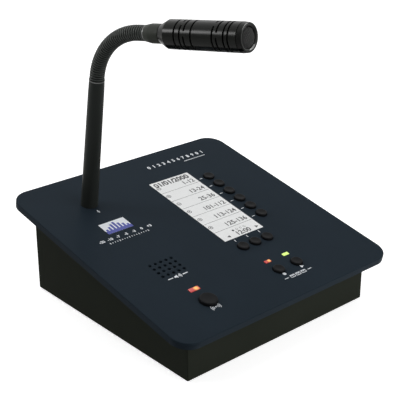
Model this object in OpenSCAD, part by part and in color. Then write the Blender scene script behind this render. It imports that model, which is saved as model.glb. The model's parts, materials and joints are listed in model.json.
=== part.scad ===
// Desk paging console: a sloping control panel on a wedge base, with a gooseneck microphone.
// Millimetres. The origin is on the desk under the middle of the console, +Y to the rear, +Z up.
// Panel coordinates: x across, s up the slope from the front edge, h out of the panel's top face.

/* [Top panel] */
// Width of the top panel
panel_w = 200; // [190:1:230]
// Depth of the top panel, measured along its slope
panel_d = 200; // [196:1:230]
// Slope of the top panel, in degrees
panel_slope = 11.3; // [9:0.1:14]
// Height of the panel's front edge above the desk
panel_front_h = 38.1; // [36:0.1:60]
// Thickness of the panel sheet
panel_t = 2; // [1.5:0.1:2.5]
// Corner radius of the panel
panel_corner_r = 14; // [10:1:20]
// Depth of the folded lip below the panel's top face
lip_depth = 5; // [4:0.1:7]

/* [Base] */
// Distance from the panel's sides in to the base's side walls
side_setback = 14.8; // [10:0.1:18]
// Distance from the panel's front edge back to the base's front wall
front_setback = 14; // [12:0.5:16]
// Distance from the panel's rear edge forward to the base's rear wall
rear_setback = 9.6; // [8:0.1:14]
// Wall thickness of the base housing
base_wall = 2; // [1.5:0.1:3]
// Outside corner radius of the base housing
base_corner_r = 0.8; // [0.6:0.1:4]
// Thickness of the bottom plate
plate_t = 2; // [1.8:0.1:3]
// Height of the rubber feet
foot_h = 1.5; // [1:0.1:3]
// Radius of the rubber feet
foot_r = 6.5; // [5:0.5:9]
// Distance of each foot's centre from the base's outside faces
foot_inset = 20; // [18:1:30]

/* [Screen] */
// Distance from the zone keys across to the middle of the screen
screen_offset = 30.5; // [30:0.5:33]
// Middle of the screen, as a ratio of the panel's depth
screen_row_ratio = 0.592; // [0.588:0.001:0.605]
// Width of the screen
screen_w = 38.2; // [34:0.2:40]
// Height of the screen, as a ratio of the panel's depth
screen_depth_ratio = 0.44; // [0.4:0.002:0.45]
// Thickness of the clear window over the display
window_t = 0.8; // [0.5:0.1:1.2]

/* [Keys] */
// Radius of the small keys
key_r = 4.3; // [3.5:0.1:4.6]
// Radius of the talk key
talk_r = 6.3; // [5.5:0.1:7]
// How far the small keys stand above the panel
key_rise = 1.7; // [1.4:0.1:2.5]
// How far the talk key stands above the panel
talk_rise = 2.2; // [1.6:0.1:3]
// Rounding of a key's top edge
key_edge_r = 0.7; // [0.3:0.1:1]
// Travel of every key
key_travel = 1.2; // [0.6:0.1:1.3]
// Distance of the zone keys from the base's right side
zone_inset = 34; // [32:0.5:36]
// Lowest zone key, as a ratio of the panel's depth
zone_row_ratio = 0.442; // [0.43:0.001:0.45]
// Distance between zone keys, as a ratio of the panel's depth
zone_pitch_ratio = 0.0605; // [0.058:0.0005:0.065]
// Row of the page keys, as a ratio of the panel's depth
page_row_ratio = 0.315; // [0.29:0.001:0.316]
// Distance between page keys
page_pitch = 12; // [11.5:0.1:14]
// Row of the message keys, as a ratio of the panel's depth
message_row_ratio = 0.1465; // [0.14:0.0005:0.155]
// How far the message keys' middle lies to the left of the screen's
message_shift = 0.2; // [0:0.1:2]
// Distance between the message keys
message_pitch = 17.8; // [14:0.1:24]
// Row of the talk key, as a ratio of the panel's depth
talk_row_ratio = 0.145; // [0.14:0.0005:0.155]

/* [Lamps] */
// Width of the talk lamp
talk_led_w = 8.4; // [6:0.1:9]
// Depth of the talk lamp
talk_led_d = 3.6; // [3:0.1:4]
// Row of the talk lamp, as a ratio of the panel's depth
talk_led_row_ratio = 0.217; // [0.21:0.001:0.225]
// Width of a message lamp
message_led_w = 5.4; // [4:0.1:7]
// Depth of a message lamp
message_led_d = 2.7; // [2:0.1:3.5]
// Row of the message lamps, as a ratio of the panel's depth
message_led_row_ratio = 0.203; // [0.195:0.001:0.225]
// How far the lamps stand above the panel
led_rise = 0.3; // [0.1:0.1:1]

/* [Loudspeaker] */
// Distance of the microphone, loudspeaker and talk key from the base's left side
left_inset = 30.6; // [29:0.1:32]
// Middle of the loudspeaker, as a ratio of the panel's depth
speaker_row_ratio = 0.36; // [0.35:0.0005:0.4]
// Outside radius of the loudspeaker
speaker_r = 18; // [17:0.5:19]
// Columns of speaker holes
hole_columns = 5; // [3:1:5]
// Rows of speaker holes
hole_rows = 4; // [2:1:4]
// Distance between speaker holes
hole_pitch = 4.7; // [4:0.1:5]
// Radius of a speaker hole
hole_r = 1.3; // [0.8:0.1:1.6]

/* [Microphone arm] */
// Place of the stem, as a ratio of the panel's depth
stem_row_ratio = 0.8125; // [0.81:0.0005:0.82]
// Length of the stem above the panel
stem_len = 101.4; // [70:0.1:140]
// Radius of the stem at the panel
stem_foot_r = 6.35; // [5.9:0.05:7]
// Radius of the stem below its tapered tip
stem_head_r = 5.6; // [5.5:0.05:5.9]
// Length of the stem's tapered tip
stem_tip_len = 7.5; // [5:0.5:12]
// Lean of the stem to the left, in degrees
stem_lean = 1.6; // [0:0.1:3]
// Turn of the bent neck to the right, in degrees
neck_turn = 12; // [-20:1:20]
// Radius of the neck's bend, at its middle line
neck_bend_r = 47; // [40:1:70]
// Angle through which the neck bends, in degrees
neck_angle = 72.4; // [50:0.1:85]
// Radius of the neck over its ribs
neck_r = 5.1; // [4.9:0.05:5.2]
// Radius of the neck between its ribs
neck_groove_r = 4.5; // [4.3:0.05:4.6]
// Radius of the neck's bore
neck_bore_r = 3; // [2.4:0.1:3.1]
// Distance between ribs
rib_pitch = 1.9; // [1.5:0.1:3]
// Straight length of neck above the stem
neck_lower_run = 1; // [1:0.5:10]
// Straight length of neck behind the collar
neck_upper_run = 6.8; // [4:0.1:12]
// Thickness of the pale rings at the neck's ends
ring_t = 0.8; // [0.5:0.1:1.5]

/* [Microphone head] */
// Length of the collar
collar_len = 12.6; // [12:0.1:20]
// Length over which the collar widens
collar_ramp_len = 4.3; // [3:0.1:8]
// Radius of the collar where it is widest
collar_r = 6.35; // [6:0.05:6.8]
// Length of the head's rear taper
head_taper_len = 6.4; // [5:0.1:12]
// Radius of the head
head_r = 9.45; // [9.2:0.05:11]
// Length of the head's slotted tube, from the collar's groove to the front ring
head_len = 62.5; // [60:0.1:80]
// Length of the front ring
front_ring_len = 3.7; // [3.5:0.1:6]
// Radius of the opening in the front ring
front_opening_r = 6.6; // [6.2:0.1:6.8]
// Rounding of the front ring's outer edge, across the head
front_round = 1.6; // [1:0.1:1.9]
// Rounding of the front ring's outer edge, along the head
front_round_len = 3.2; // [1:0.1:3.4]
// How far the front ring's opening flares
front_flare = 0.7; // [0:0.1:0.9]
// Wall of the slotted tube
head_wall = 1.45; // [1.2:0.05:1.5]
// Width of a slot
slot_w = 1.1; // [0.6:0.1:1.4]
// Width of the bridges that interrupt a slot
bridge_w = 3.2; // [2:0.1:5]

/* [Hidden] */

$fn = 64;

// Extra reach of a cut past the face that it opens
cut = 1;
// Gap around pieces that drop into an opening
fit_gap = 0.15;
// Gap around a fastener in its hole
screw_gap = 0.12;
// Gap around a moving key
key_gap = 0.35;

// Places that follow from the panel
edge_y = -(panel_d * cos(panel_slope) + lip_depth * sin(panel_slope)) / 2;
panel_top_h = panel_front_h + panel_d * sin(panel_slope);
fold_r = 0.3 * panel_t;
fold_steps = 5;
// Section of the folded edge: in from its outside face, and up from the panel's top face
fold_section = concat(
    [[panel_t, -lip_depth], [panel_t, 0]],
    [for (i = [0:fold_steps]) fold_r * [1 - sin(i * 90 / fold_steps), cos(i * 90 / fold_steps) - 1]],
    [[0, -lip_depth]]);

// Base housing
base_w = panel_w - 2 * side_setback;
base_d = panel_d * cos(panel_slope) - front_setback - rear_setback;
base_y = edge_y + front_setback;
base_inner_w = base_w - 2 * base_wall;
base_inner_d = base_d - 2 * base_wall;
base_inner_r = base_corner_r - base_wall > 0.5 ? base_corner_r - base_wall : 0.5;
base_rear_y = base_y + base_d;
plate_top = foot_h + plate_t;
foot_taper = 0.4;

// Rows up the panel's slope
screen_s = screen_row_ratio * panel_d;
screen_d = screen_depth_ratio * panel_d;
zone_s = zone_row_ratio * panel_d;
zone_pitch = zone_pitch_ratio * panel_d;
page_s = page_row_ratio * panel_d;
message_s = message_row_ratio * panel_d;
talk_s = talk_row_ratio * panel_d;
talk_led_s = talk_led_row_ratio * panel_d;
message_led_s = message_led_row_ratio * panel_d;
speaker_s = speaker_row_ratio * panel_d;
stem_s = stem_row_ratio * panel_d;

// Columns across the panel
left_x = left_inset - base_w / 2;
zone_x = base_w / 2 - zone_inset;
screen_x = zone_x - screen_offset;
screen_left = screen_x - screen_w / 2;
message_x = screen_x - message_shift;

// Studs that hold the panel, and the tabs that they pass through
stud_r = 2;
stud_len = 9;
tab_t = 2.5;
tab_size = 18;
tab_reach = base_inner_w / 2 - tab_size;
stud_x = tab_reach + tab_size / 2;
stud_edge = 10;
stud_front_s = (front_setback + base_wall) / cos(panel_slope) + stud_edge;
stud_rear_s = (front_setback + base_d - base_wall) / cos(panel_slope) - stud_edge;
stud_places = [for (x = [-stud_x, stud_x]) for (s = [stud_front_s, stud_rear_s]) [x, s]];
nut_across = 7;
nut_t = 3.2;

// Bosses that take the bottom plate's screws
boss_r = 4.5;
boss_h = 12;
boss_cap = 2;
boss_screw_len = 8;
boss_x = base_inner_w / 2 - boss_r + base_wall / 2;
boss_front_y = base_y + base_wall + boss_r - base_wall / 2;
boss_rear_y = base_rear_y - base_wall - boss_r + base_wall / 2;
boss_places = [for (x = [-boss_x, boss_x]) for (y = [boss_front_y, boss_rear_y]) [x, y]];
screw_r = 1.5;
screw_head_r = 2.9;
screw_head_h = 1.4;
screw_drive_r = 1;
screw_drive_h = 0.8;
screw_bite = 4;
foot_places = [
    for (x = [-base_w / 2 + foot_inset, base_w / 2 - foot_inset])
        for (y = [base_y + foot_inset, base_rear_y - foot_inset]) [x, y]
];

// Control board behind the panel
standoff_len = 11;
standoff_r = 3;
board_t = 1.6;
board_top = -(panel_t + standoff_len);
board_bottom = board_top - board_t;
board_margin_left = 17;
board_margin_right = 15;
board_margin_rear = 8;
board_clear = 2;
stem_clear = 13;
screen_clear = 12;
hole_edge = 5;
board_left = left_x - board_margin_left;
board_right = zone_x + board_margin_right;
board_front_s = (front_setback + base_wall + board_bottom * sin(panel_slope)) / cos(panel_slope) + board_clear;
board_step_s = stem_s - stem_clear;
board_step_x = screen_left - screen_clear;
board_rear_s = screen_s + screen_d / 2 + board_margin_rear;
standoff_places = [
    [left_x + 3 * hole_edge, board_front_s + hole_edge], [board_right - 1.2 * hole_edge, board_front_s + hole_edge],
    [board_left + 2 * hole_edge, board_step_s - 2 * hole_edge], [board_step_x + hole_edge, board_rear_s - hole_edge],
    [board_right - 1.2 * hole_edge, board_rear_s - hole_edge], [screen_left - screen_clear, page_s]
];
lcd_margin = 3.2;
lcd_gap = 0.2;
lcd_shoulder = -(panel_t + lcd_gap);

// Keys and the switches under them
flange_w = 0.9;
flange_t = 0.8;
flange_gap = 0.2;
plunger_r = 1.4;
switch_size = 6;
switch_h = 4.5;
switch_top = board_top + switch_h;
switch_recess_r = plunger_r + key_gap;
plunger_dip = 0.3;
switch_recess_h = plunger_dip + key_travel + 0.3;
zone_count = 6;
zone_places = [for (i = [1:zone_count]) [zone_x, zone_s + (zone_count - i) * zone_pitch]];
page_places = [for (i = [-1:1]) [screen_x + i * page_pitch, page_s]];
record_place = [message_x - message_pitch / 2, message_s];
play_place = [message_x + message_pitch / 2, message_s];
talk_place = [left_x, talk_s];
small_key_places = concat(zone_places, page_places, [record_place, play_place]);
key_places = concat(small_key_places, [talk_place]);
led_flange = 1;
led_flange_t = 1;

// Loudspeaker
gauze_t = 0.4;
speaker_rim_w = 3;
speaker_rim_h = 2;
cone_drop = 1;
cone_apex_r = 3;
speaker_depth = 8;
magnet_r = 9;
magnet_h = 5;
basket_t = 1.2;
cone_t = 0.5;
cone_clear = 0.3;
speaker_top = -(panel_t + gauze_t);
speaker_back = speaker_top - speaker_depth;
cutout_clear = 3;
board_cutout_r = speaker_r + cutout_clear;

// Main board on the bottom plate
main_standoff_h = 6;
main_bottom = plate_top + main_standoff_h;
main_top = main_bottom + board_t;
main_side_clear = 23;
main_shift = 10;
main_rear_clear = 2;
main_w = base_inner_w - 2 * main_side_clear;
main_d = 90;
main_x = -main_shift;
main_rear_y = base_rear_y - base_wall - main_rear_clear;
standoff_floor = 1;
main_hole_inset = 6;
main_places = [
    for (x = [-1, 1]) for (y = [main_rear_y - main_d + main_hole_inset, main_rear_y - main_hole_inset])
        [main_x + x * (main_w / 2 - main_hole_inset), y]
];
socket_w = 16;
socket_d = 21.5;
socket_h = 13.5;
socket_proud = 0.5;
socket_face_y = base_rear_y + socket_proud;
socket_mouth_w = 11.8;
socket_mouth_h = 8.2;
socket_mouth_d = 14;
socket_floor = 2.6;
latch_w = 4.4;
latch_h = 1.6;
ribbon_w = 20;
ribbon_t = 0.9;
ribbon_x = screen_x;
ribbon_row_ratio = 0.55;
ribbon_s = ribbon_row_ratio * panel_d;
ribbon_socket_w = 24;
ribbon_socket_d = 7;
ribbon_socket_h = 6;
ribbon_y = edge_y + ribbon_s * cos(panel_slope) - (board_bottom - ribbon_socket_h) * sin(panel_slope);

// Microphone arm: the arm frame's z axis is the stem's, and the neck bends towards its -Y
spigot_r = 5;
spigot_len = 14;
cable_bore_r = 2.2;
spigot_bore_r = 2.6;
tail_r = 3.9;
tail_len = 8;
tail_gap = 0.3;
end_gap = 0.3;
ring_lip = 0.1;
stem_tip_r = neck_r + 3 * ring_lip;
washer_r = 9.5;
washer_t = 1;
stem_nut_across = 14;
stem_nut_t = 4;
neck_sides = 8;
neck_foot_z = stem_len - tail_len;
neck_arc_len = neck_bend_r * neck_angle * PI / 180;
neck_arc_start = tail_len + ring_t + neck_lower_run;
neck_arc_end = neck_arc_start + neck_arc_len;
rib_start = tail_len + ring_t + end_gap;
rib_end = neck_arc_end + neck_upper_run - end_gap;
neck_len = neck_arc_end + neck_upper_run + ring_t + tail_len;
rib_count = min(200, round((rib_end - rib_start) / rib_pitch));
rib_step = (rib_end - rib_start) / rib_count;
bore_steps = 12;
head_y = -neck_bend_r * (1 - cos(neck_angle));
head_z = neck_foot_z + neck_arc_start + neck_bend_r * sin(neck_angle);

// Microphone head, along its own axis from the end of the bend
collar_start = neck_upper_run + ring_t;
collar_end = collar_start + collar_len;
groove_len = 0.5;
groove_step = 0.4;
groove_r = collar_r - groove_step;
collar_start_r = neck_r + 4 * ring_lip;
body_start = collar_end + groove_len;
body_end = body_start + head_len;
body_rear_r = collar_r + ring_lip;
head_spigot_step = 0.9;
head_spigot_r = groove_r - head_spigot_step;
head_spigot_len = 5.5;
bore_r = head_r - head_wall;
cavity_floor = 1.5;
cavity_start = body_start + head_taper_len + cavity_floor;
slot_rows = [9, 13.4, 16.6, 22.1, 38.4, 41.7, 46.9, 50.1];
slot_phases = [69, 114, 159, 69, 114, 159, 69, 69];
slot_start = body_start + head_taper_len;
ring_spigot_len = 1.1;
ring_spigot_r = bore_r - fit_gap;
head_end = body_end + front_ring_len;
grille_t = 0.6;
grille_recess = 1.6;
grille_z = head_end - grille_recess - grille_t;
lining_t = 0.35;
lining_r = bore_r - fit_gap;
lining_end = body_end - ring_spigot_len - fit_gap;
mount_r = lining_r - lining_t - fit_gap;
capsule_r = 4.9;
capsule_len = 8;
capsule_gap = 1;
capsule_end = grille_z - capsule_gap;
capsule_start = capsule_end - capsule_len;
mount_len = 5;
mount_start = body_end - ring_spigot_len - end_gap - mount_len;
preamp_w = 9;
preamp_t = 1.4;
preamp_len = 30;
preamp_start = capsule_start - preamp_len;

// Cable from the main board up to the head
cable_r = 1.5;
header_w = 8;
header_d = 7;
header_h = 6;
header_top = main_top + header_h;
stem_y = edge_y + stem_s * cos(panel_slope);
stem_z = panel_front_h + stem_s * sin(panel_slope);
header_gap = 0.1;
arm_rise = cos(panel_slope) * cos(stem_lean);
cable_drop = (stem_z - header_top - cable_r * sqrt(1 - arm_rise * arm_rise) - header_gap) / arm_rise;
header_x = left_x + cable_drop * sin(stem_lean);
header_y = stem_y + cable_drop * sin(panel_slope) * cos(stem_lean);
cable_steps = 8;
cable_top = collar_start + tail_len;

// Colours
navy = [0.14, 0.17, 0.21];
black = [0.12, 0.12, 0.12];
dark_metal = [0.10, 0.11, 0.10];
pale_metal = [0.62, 0.63, 0.63];
steel = [0.70, 0.71, 0.72];
rubber = [0.07, 0.07, 0.07];
board_green = [0.08, 0.30, 0.16];
glass = [0.80, 0.86, 0.90, 0.4];
screen_white = [0.88, 0.88, 0.88];

// Panel frame: the origin is the middle of the panel's front top edge
module on_panel() {
    translate([0, edge_y, panel_front_h]) rotate([panel_slope, 0, 0]) children();
}

// Stem frame: the origin is where the stem meets the panel
module at_stem() {
    on_panel() translate([left_x, stem_s, 0]) children();
}

// Arm frame: the stem frame leaned to the left, and turned with the neck
module at_arm() {
    at_stem() rotate([0, -stem_lean, 0]) rotate([0, 0, neck_turn]) children();
}

// Head frame: the origin is the end of the neck's bend, z along the head
module at_head() {
    at_arm() translate([0, head_y, head_z]) rotate([neck_angle, 0, 0]) children();
}

// Slab with round corners, centred across, from y = 0 to y = d
module rounded_slab(w, d, t, r) {
    translate([-w / 2 + r, 0, 0]) cube([w - 2 * r, d, t]);
    translate([-w / 2, r, 0]) cube([w, d - 2 * r, t]);
    for (x = [-w / 2 + r, w / 2 - r])
        for (y = [r, d - r])
            translate([x, y, 0]) cylinder(h = t, r = r);
}

module centred_box(w, d, h) {
    translate([-w / 2, -d / 2, 0]) cube([w, d, h]);
}

module tube(r, bore, h) {
    difference() {
        cylinder(h = h, r = r);
        translate([0, 0, -cut]) cylinder(h = h + 2 * cut, r = bore);
    }
}

module hex_nut(across, bore, h) {
    difference() {
        cylinder(h = h, r = across / 2 / cos(30), $fn = 6);
        translate([0, 0, -cut]) cylinder(h = h + 2 * cut, r = bore);
    }
}

// Pan head screw: the head sits on z = 0 and the shank points up
module pan_screw(len) {
    cylinder(h = len, r = screw_r);
    difference() {
        translate([0, 0, -screw_head_h]) cylinder(h = screw_head_h, r = screw_head_r);
        translate([0, 0, -screw_head_h - cut]) cylinder(h = screw_drive_h + cut, r = screw_drive_r, $fn = 6);
    }
}

// Everything above the panel's underside
module above_underside() {
    on_panel() translate([-panel_w, -panel_d, -panel_t]) cube([2 * panel_w, 3 * panel_d, panel_w]);
}

// Folded edge along x, with its outside face on y = 0
module folded_edge(len) {
    translate([-len / 2, 0, 0]) rotate([90, 0, 90]) linear_extrude(height = len) polygon(fold_section);
}

// Folded corner: a quarter ring about the corner's centre
module folded_corner() {
    intersection() {
        rotate_extrude() polygon([for (p = fold_section) [panel_corner_r - p[0], p[1]]]);
        translate([0, 0, -lip_depth - cut]) cube([2 * panel_corner_r, 2 * panel_corner_r, lip_depth + 2 * cut]);
    }
}

module panel_sheet() {
    span_x = panel_w - 2 * panel_corner_r;
    span_s = panel_d - 2 * panel_corner_r;
    inset = panel_t / 2;
    translate([0, inset, -panel_t])
        rounded_slab(panel_w - 2 * inset, panel_d - 2 * inset, panel_t, panel_corner_r - inset);
    for (corner = [[1, 1, 0], [-1, 1, 90], [-1, -1, 180], [1, -1, 270]])
        translate([corner[0] * span_x / 2, (panel_d + corner[1] * span_s) / 2, 0])
            rotate([0, 0, corner[2]]) folded_corner();
    folded_edge(span_x);
    translate([0, panel_d, 0]) rotate([0, 0, 180]) folded_edge(span_x);
    translate([-panel_w / 2, panel_d / 2, 0]) rotate([0, 0, -90]) folded_edge(span_s);
    translate([panel_w / 2, panel_d / 2, 0]) rotate([0, 0, 90]) folded_edge(span_s);
}

module panel_hole(place, r) {
    translate([place[0], place[1], -panel_t - cut]) cylinder(h = panel_t + 2 * cut, r = r);
}

module panel_slot(place, w, d) {
    translate([place[0], place[1], -panel_t - cut]) centred_box(w + 2 * fit_gap, d + 2 * fit_gap, panel_t + 2 * cut);
}

module top_panel() {
    color(navy) on_panel() {
        difference() {
            panel_sheet();
            panel_slot([screen_x, screen_s], screen_w, screen_d);
            for (p = small_key_places) panel_hole(p, key_r + key_gap);
            panel_hole(talk_place, talk_r + key_gap);
            panel_slot([left_x, talk_led_s], talk_led_w, talk_led_d);
            panel_slot([record_place[0], message_led_s], message_led_w, message_led_d);
            panel_slot([play_place[0], message_led_s], message_led_w, message_led_d);
            for (i = [0:hole_columns - 1])
                for (j = [0:hole_rows - 1])
                    panel_hole([left_x + (i - (hole_columns - 1) / 2) * hole_pitch,
                                speaker_s + (j - (hole_rows - 1) / 2) * hole_pitch], hole_r);
            panel_hole([left_x, stem_s], spigot_r + screw_gap);
        }
        for (p = stud_places)
            translate([p[0], p[1], -panel_t - stud_len]) cylinder(h = stud_len + panel_t / 2, r = stud_r);
    }
}

module base_housing() {
    color(black) difference() {
        union() {
            difference() {
                translate([0, base_y, foot_h]) rounded_slab(base_w, base_d, panel_top_h, base_corner_r);
                translate([0, base_y + base_wall, foot_h - cut])
                    rounded_slab(base_inner_w, base_inner_d, panel_top_h + 2 * cut, base_inner_r);
            }
            on_panel() for (p = stud_places)
                translate([p[0] > 0 ? tab_reach : -base_w / 2 + base_wall / 2, p[1] - tab_size / 2, -panel_t - tab_t])
                    cube([tab_size + base_wall / 2, tab_size, tab_t]);
            for (p = boss_places) translate([p[0], p[1], plate_top]) cylinder(h = boss_h, r = boss_r);
        }
        above_underside();
        on_panel() for (p = stud_places)
            translate([p[0], p[1], -panel_t - tab_t - cut]) cylinder(h = tab_t + 2 * cut, r = stud_r + 2 * screw_gap);
        for (p = boss_places)
            translate([p[0], p[1], plate_top - cut]) cylinder(h = boss_h - boss_cap + cut, r = screw_r + screw_gap);
        translate([0, base_rear_y - base_wall - cut, main_top - fit_gap])
            translate([-socket_w / 2 - fit_gap, 0, 0])
                cube([socket_w + 2 * fit_gap, base_wall + 2 * cut, socket_h + 2 * fit_gap]);
    }
}

module bottom_plate() {
    color(black) difference() {
        translate([0, base_y + base_wall + fit_gap, foot_h])
            rounded_slab(base_inner_w - 2 * fit_gap, base_inner_d - 2 * fit_gap, plate_t, base_inner_r);
        for (p = boss_places) translate([p[0], p[1], foot_h]) {
            translate([0, 0, -cut]) cylinder(h = plate_t + 2 * cut, r = screw_r + screw_gap);
            cylinder(h = screw_head_h + screw_gap, r1 = screw_head_r + screw_gap, r2 = screw_r + screw_gap);
        }
    }
}

module bottom_screws() {
    color(steel) for (p = boss_places) translate([p[0], p[1], foot_h]) difference() {
        union() {
            cylinder(h = plate_t + boss_screw_len, r = screw_r);
            cylinder(h = screw_head_h, r1 = screw_head_r, r2 = screw_r);
        }
        translate([0, 0, -cut]) cylinder(h = screw_drive_h + cut, r = screw_drive_r, $fn = 6);
    }
}

module rubber_feet() {
    color(rubber) for (p = foot_places) translate([p[0], p[1], 0]) cylinder(h = foot_h, r1 = foot_r - foot_taper, r2 = foot_r);
}

module panel_nuts() {
    color(steel) on_panel() for (p = stud_places)
        translate([p[0], p[1], -panel_t - tab_t - nut_t]) hex_nut(nut_across, stud_r + screw_gap, nut_t);
}

module screen_window() {
    color(glass) on_panel() translate([screen_x, screen_s, -window_t]) centred_box(screen_w, screen_d, window_t);
}

// The display stands up into the panel's cut-out, under the window
module lcd_module() {
    color(screen_white) on_panel() translate([screen_x, screen_s, board_top]) {
        centred_box(screen_w + 2 * lcd_margin, screen_d + 2 * lcd_margin, lcd_shoulder - board_top);
        centred_box(screen_w, screen_d, -window_t - board_top);
    }
}

module control_board() {
    color(board_green) on_panel() difference() {
        translate([board_left, board_front_s, board_bottom])
            cube([board_right - board_left, board_rear_s - board_front_s, board_t]);
        translate([board_left - cut, board_step_s, board_bottom - cut])
            cube([board_step_x - board_left + cut, board_rear_s, board_t + 2 * cut]);
        translate([left_x, speaker_s, board_bottom - cut]) cylinder(h = board_t + 2 * cut, r = board_cutout_r);
        for (p = standoff_places)
            translate([p[0], p[1], board_bottom - cut]) cylinder(h = board_t + 2 * cut, r = screw_r + screw_gap);
    }
}

module board_standoffs() {
    color(steel) on_panel() for (p = standoff_places)
        translate([p[0], p[1], board_top]) difference() {
            cylinder(h = standoff_len, r = standoff_r);
            translate([0, 0, -cut]) cylinder(h = standoff_len - panel_t + cut, r = screw_r + screw_gap);
        }
}

module board_screws() {
    color(steel) on_panel() for (p = standoff_places) translate([p[0], p[1], board_bottom]) pan_screw(board_t + screw_bite);
}

module tact_switches() {
    color(black) on_panel() for (p = key_places) translate([p[0], p[1], board_top]) difference() {
        centred_box(switch_size, switch_size, switch_h);
        translate([0, 0, switch_h - switch_recess_h]) cylinder(h = switch_recess_h + cut, r = switch_recess_r);
    }
}

// Key turned about its own axis: plunger, retaining flange under the panel, cap with a rounded top edge
module key(place, r, rise) {
    under = -panel_t - flange_gap;
    tip = switch_top - plunger_dip;
    edge = [for (a = [90:-15:0]) [r - key_edge_r + key_edge_r * sin(a), rise - key_edge_r + key_edge_r * cos(a)]];
    color(black) on_panel() translate([place[0], place[1], 0]) rotate_extrude()
        polygon(concat(
            [[0, tip], [plunger_r, tip], [plunger_r, under - flange_t], [r + flange_w, under - flange_t]],
            [[r + flange_w, under], [r, under]], edge, [[0, rise]]
        ));
}

module light_pipe(place, w, d) {
    translate([place[0], place[1], 0]) {
        translate([0, 0, -panel_t]) centred_box(w, d, panel_t + led_rise);
        translate([0, 0, -panel_t - led_flange_t])
            centred_box(w + 2 * led_flange, d + 2 * led_flange, led_flange_t);
        translate([0, 0, board_top]) centred_box(w, d, -panel_t - led_flange_t - board_top);
    }
}

module talk_led() {
    color("red") on_panel() light_pipe([left_x, talk_led_s], talk_led_w, talk_led_d);
}

module record_led() {
    color("red") on_panel() light_pipe([record_place[0], message_led_s], message_led_w, message_led_d);
}

module play_led() {
    color("yellowgreen") on_panel() light_pipe([play_place[0], message_led_s], message_led_w, message_led_d);
}

module at_speaker() {
    on_panel() translate([left_x, speaker_s, 0]) children();
}

module speaker_gauze() {
    color(black) at_speaker() translate([0, 0, speaker_top]) cylinder(h = gauze_t, r = speaker_r);
}

module speaker_frame() {
    inner = speaker_r - speaker_rim_w;
    foot = speaker_top - speaker_rim_h;
    color(dark_metal) at_speaker() rotate_extrude() polygon([
        [inner, speaker_top], [speaker_r, speaker_top], [speaker_r, foot],
        [magnet_r + basket_t, speaker_back], [0, speaker_back], [0, speaker_back + basket_t],
        [magnet_r, speaker_back + basket_t], [inner, foot]
    ]);
}

module speaker_cone() {
    rim = speaker_r - speaker_rim_w - cone_clear;
    depth = speaker_depth - basket_t - 2 * cone_drop;
    color(black) at_speaker() translate([0, 0, speaker_top - cone_drop]) rotate_extrude() polygon([
        [rim, 0], [rim, -cone_t], [cone_apex_r, -depth], [0, -depth],
        [0, cone_t - depth], [cone_apex_r, cone_t - depth]
    ]);
}

module speaker_magnet() {
    color(steel) at_speaker() translate([0, 0, speaker_back - magnet_h]) cylinder(h = magnet_h, r = magnet_r);
}

module main_board() {
    color(board_green) difference() {
        translate([main_x - main_w / 2, main_rear_y - main_d, main_bottom]) cube([main_w, main_d, board_t]);
        for (p = main_places)
            translate([p[0], p[1], main_bottom - cut]) cylinder(h = board_t + 2 * cut, r = screw_r + screw_gap);
    }
}

module main_standoffs() {
    color(steel) for (p = main_places) translate([p[0], p[1], plate_top]) difference() {
        cylinder(h = main_standoff_h, r = standoff_r);
        translate([0, 0, standoff_floor]) cylinder(h = main_standoff_h, r = screw_r + screw_gap);
    }
}

module main_screws() {
    color(steel) for (p = main_places) translate([p[0], p[1], main_top]) rotate([180, 0, 0]) pan_screw(board_t + screw_bite);
}

module network_socket() {
    color(steel) translate([0, socket_face_y, main_top]) difference() {
        translate([-socket_w / 2, -socket_d, 0]) cube([socket_w, socket_d, socket_h]);
        translate([-socket_mouth_w / 2, -socket_mouth_d, socket_floor])
            cube([socket_mouth_w, socket_mouth_d + cut, socket_mouth_h]);
        translate([-latch_w / 2, -socket_mouth_d, socket_floor - latch_h])
            cube([latch_w, socket_mouth_d + cut, latch_h + cut]);
    }
}

module ribbon_sockets() {
    color(black) {
        on_panel() translate([ribbon_x, ribbon_s, board_bottom - ribbon_socket_h])
            centred_box(ribbon_socket_w, ribbon_socket_d, ribbon_socket_h);
        translate([ribbon_x, ribbon_y, main_top]) centred_box(ribbon_socket_w, ribbon_socket_d, ribbon_socket_h);
    }
}

module ribbon_cable() {
    color(pale_metal) difference() {
        translate([ribbon_x, ribbon_y, main_top + ribbon_socket_h]) centred_box(ribbon_w, ribbon_t, panel_top_h);
        on_panel() translate([-panel_w, -panel_d, board_bottom - ribbon_socket_h])
            cube([2 * panel_w, 3 * panel_d, 2 * panel_w]);
    }
}

module mic_header() {
    color(black) translate([header_x, header_y, main_top]) centred_box(header_w, header_d, header_h);
}

// The leaning tube is cut level with the panel, and its spigot goes straight down through it
module mic_stem() {
    shaft_len = stem_len - stem_tip_len;
    color(dark_metal) difference() {
        union() {
            difference() {
                at_arm() {
                    translate([0, 0, -cut]) cylinder(h = shaft_len + cut, r1 = stem_foot_r, r2 = stem_head_r);
                    translate([0, 0, shaft_len]) cylinder(h = stem_tip_len, r1 = stem_head_r, r2 = stem_tip_r);
                }
                at_stem() translate([0, 0, -4 * cut]) centred_box(4 * stem_foot_r, 4 * stem_foot_r, 4 * cut);
            }
            at_stem() translate([0, 0, -spigot_len]) cylinder(h = spigot_len + cut, r = spigot_r);
        }
        at_stem() translate([0, 0, -spigot_len - cut]) cylinder(h = spigot_len + 2 * cut, r = spigot_bore_r);
        at_arm() {
            cylinder(h = stem_len + cut, r = cable_bore_r);
            translate([0, 0, stem_len - tail_len - end_gap]) cylinder(h = tail_len + end_gap + cut, r = tail_r + tail_gap);
        }
    }
}

module stem_ring() {
    color(pale_metal) at_arm() translate([0, 0, stem_len]) tube(stem_tip_r + ring_lip, tail_r + tail_gap, ring_t);
}

module stem_washer() {
    color(steel) at_stem() translate([0, 0, -panel_t - washer_t]) tube(washer_r, spigot_r + screw_gap, washer_t);
}

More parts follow.
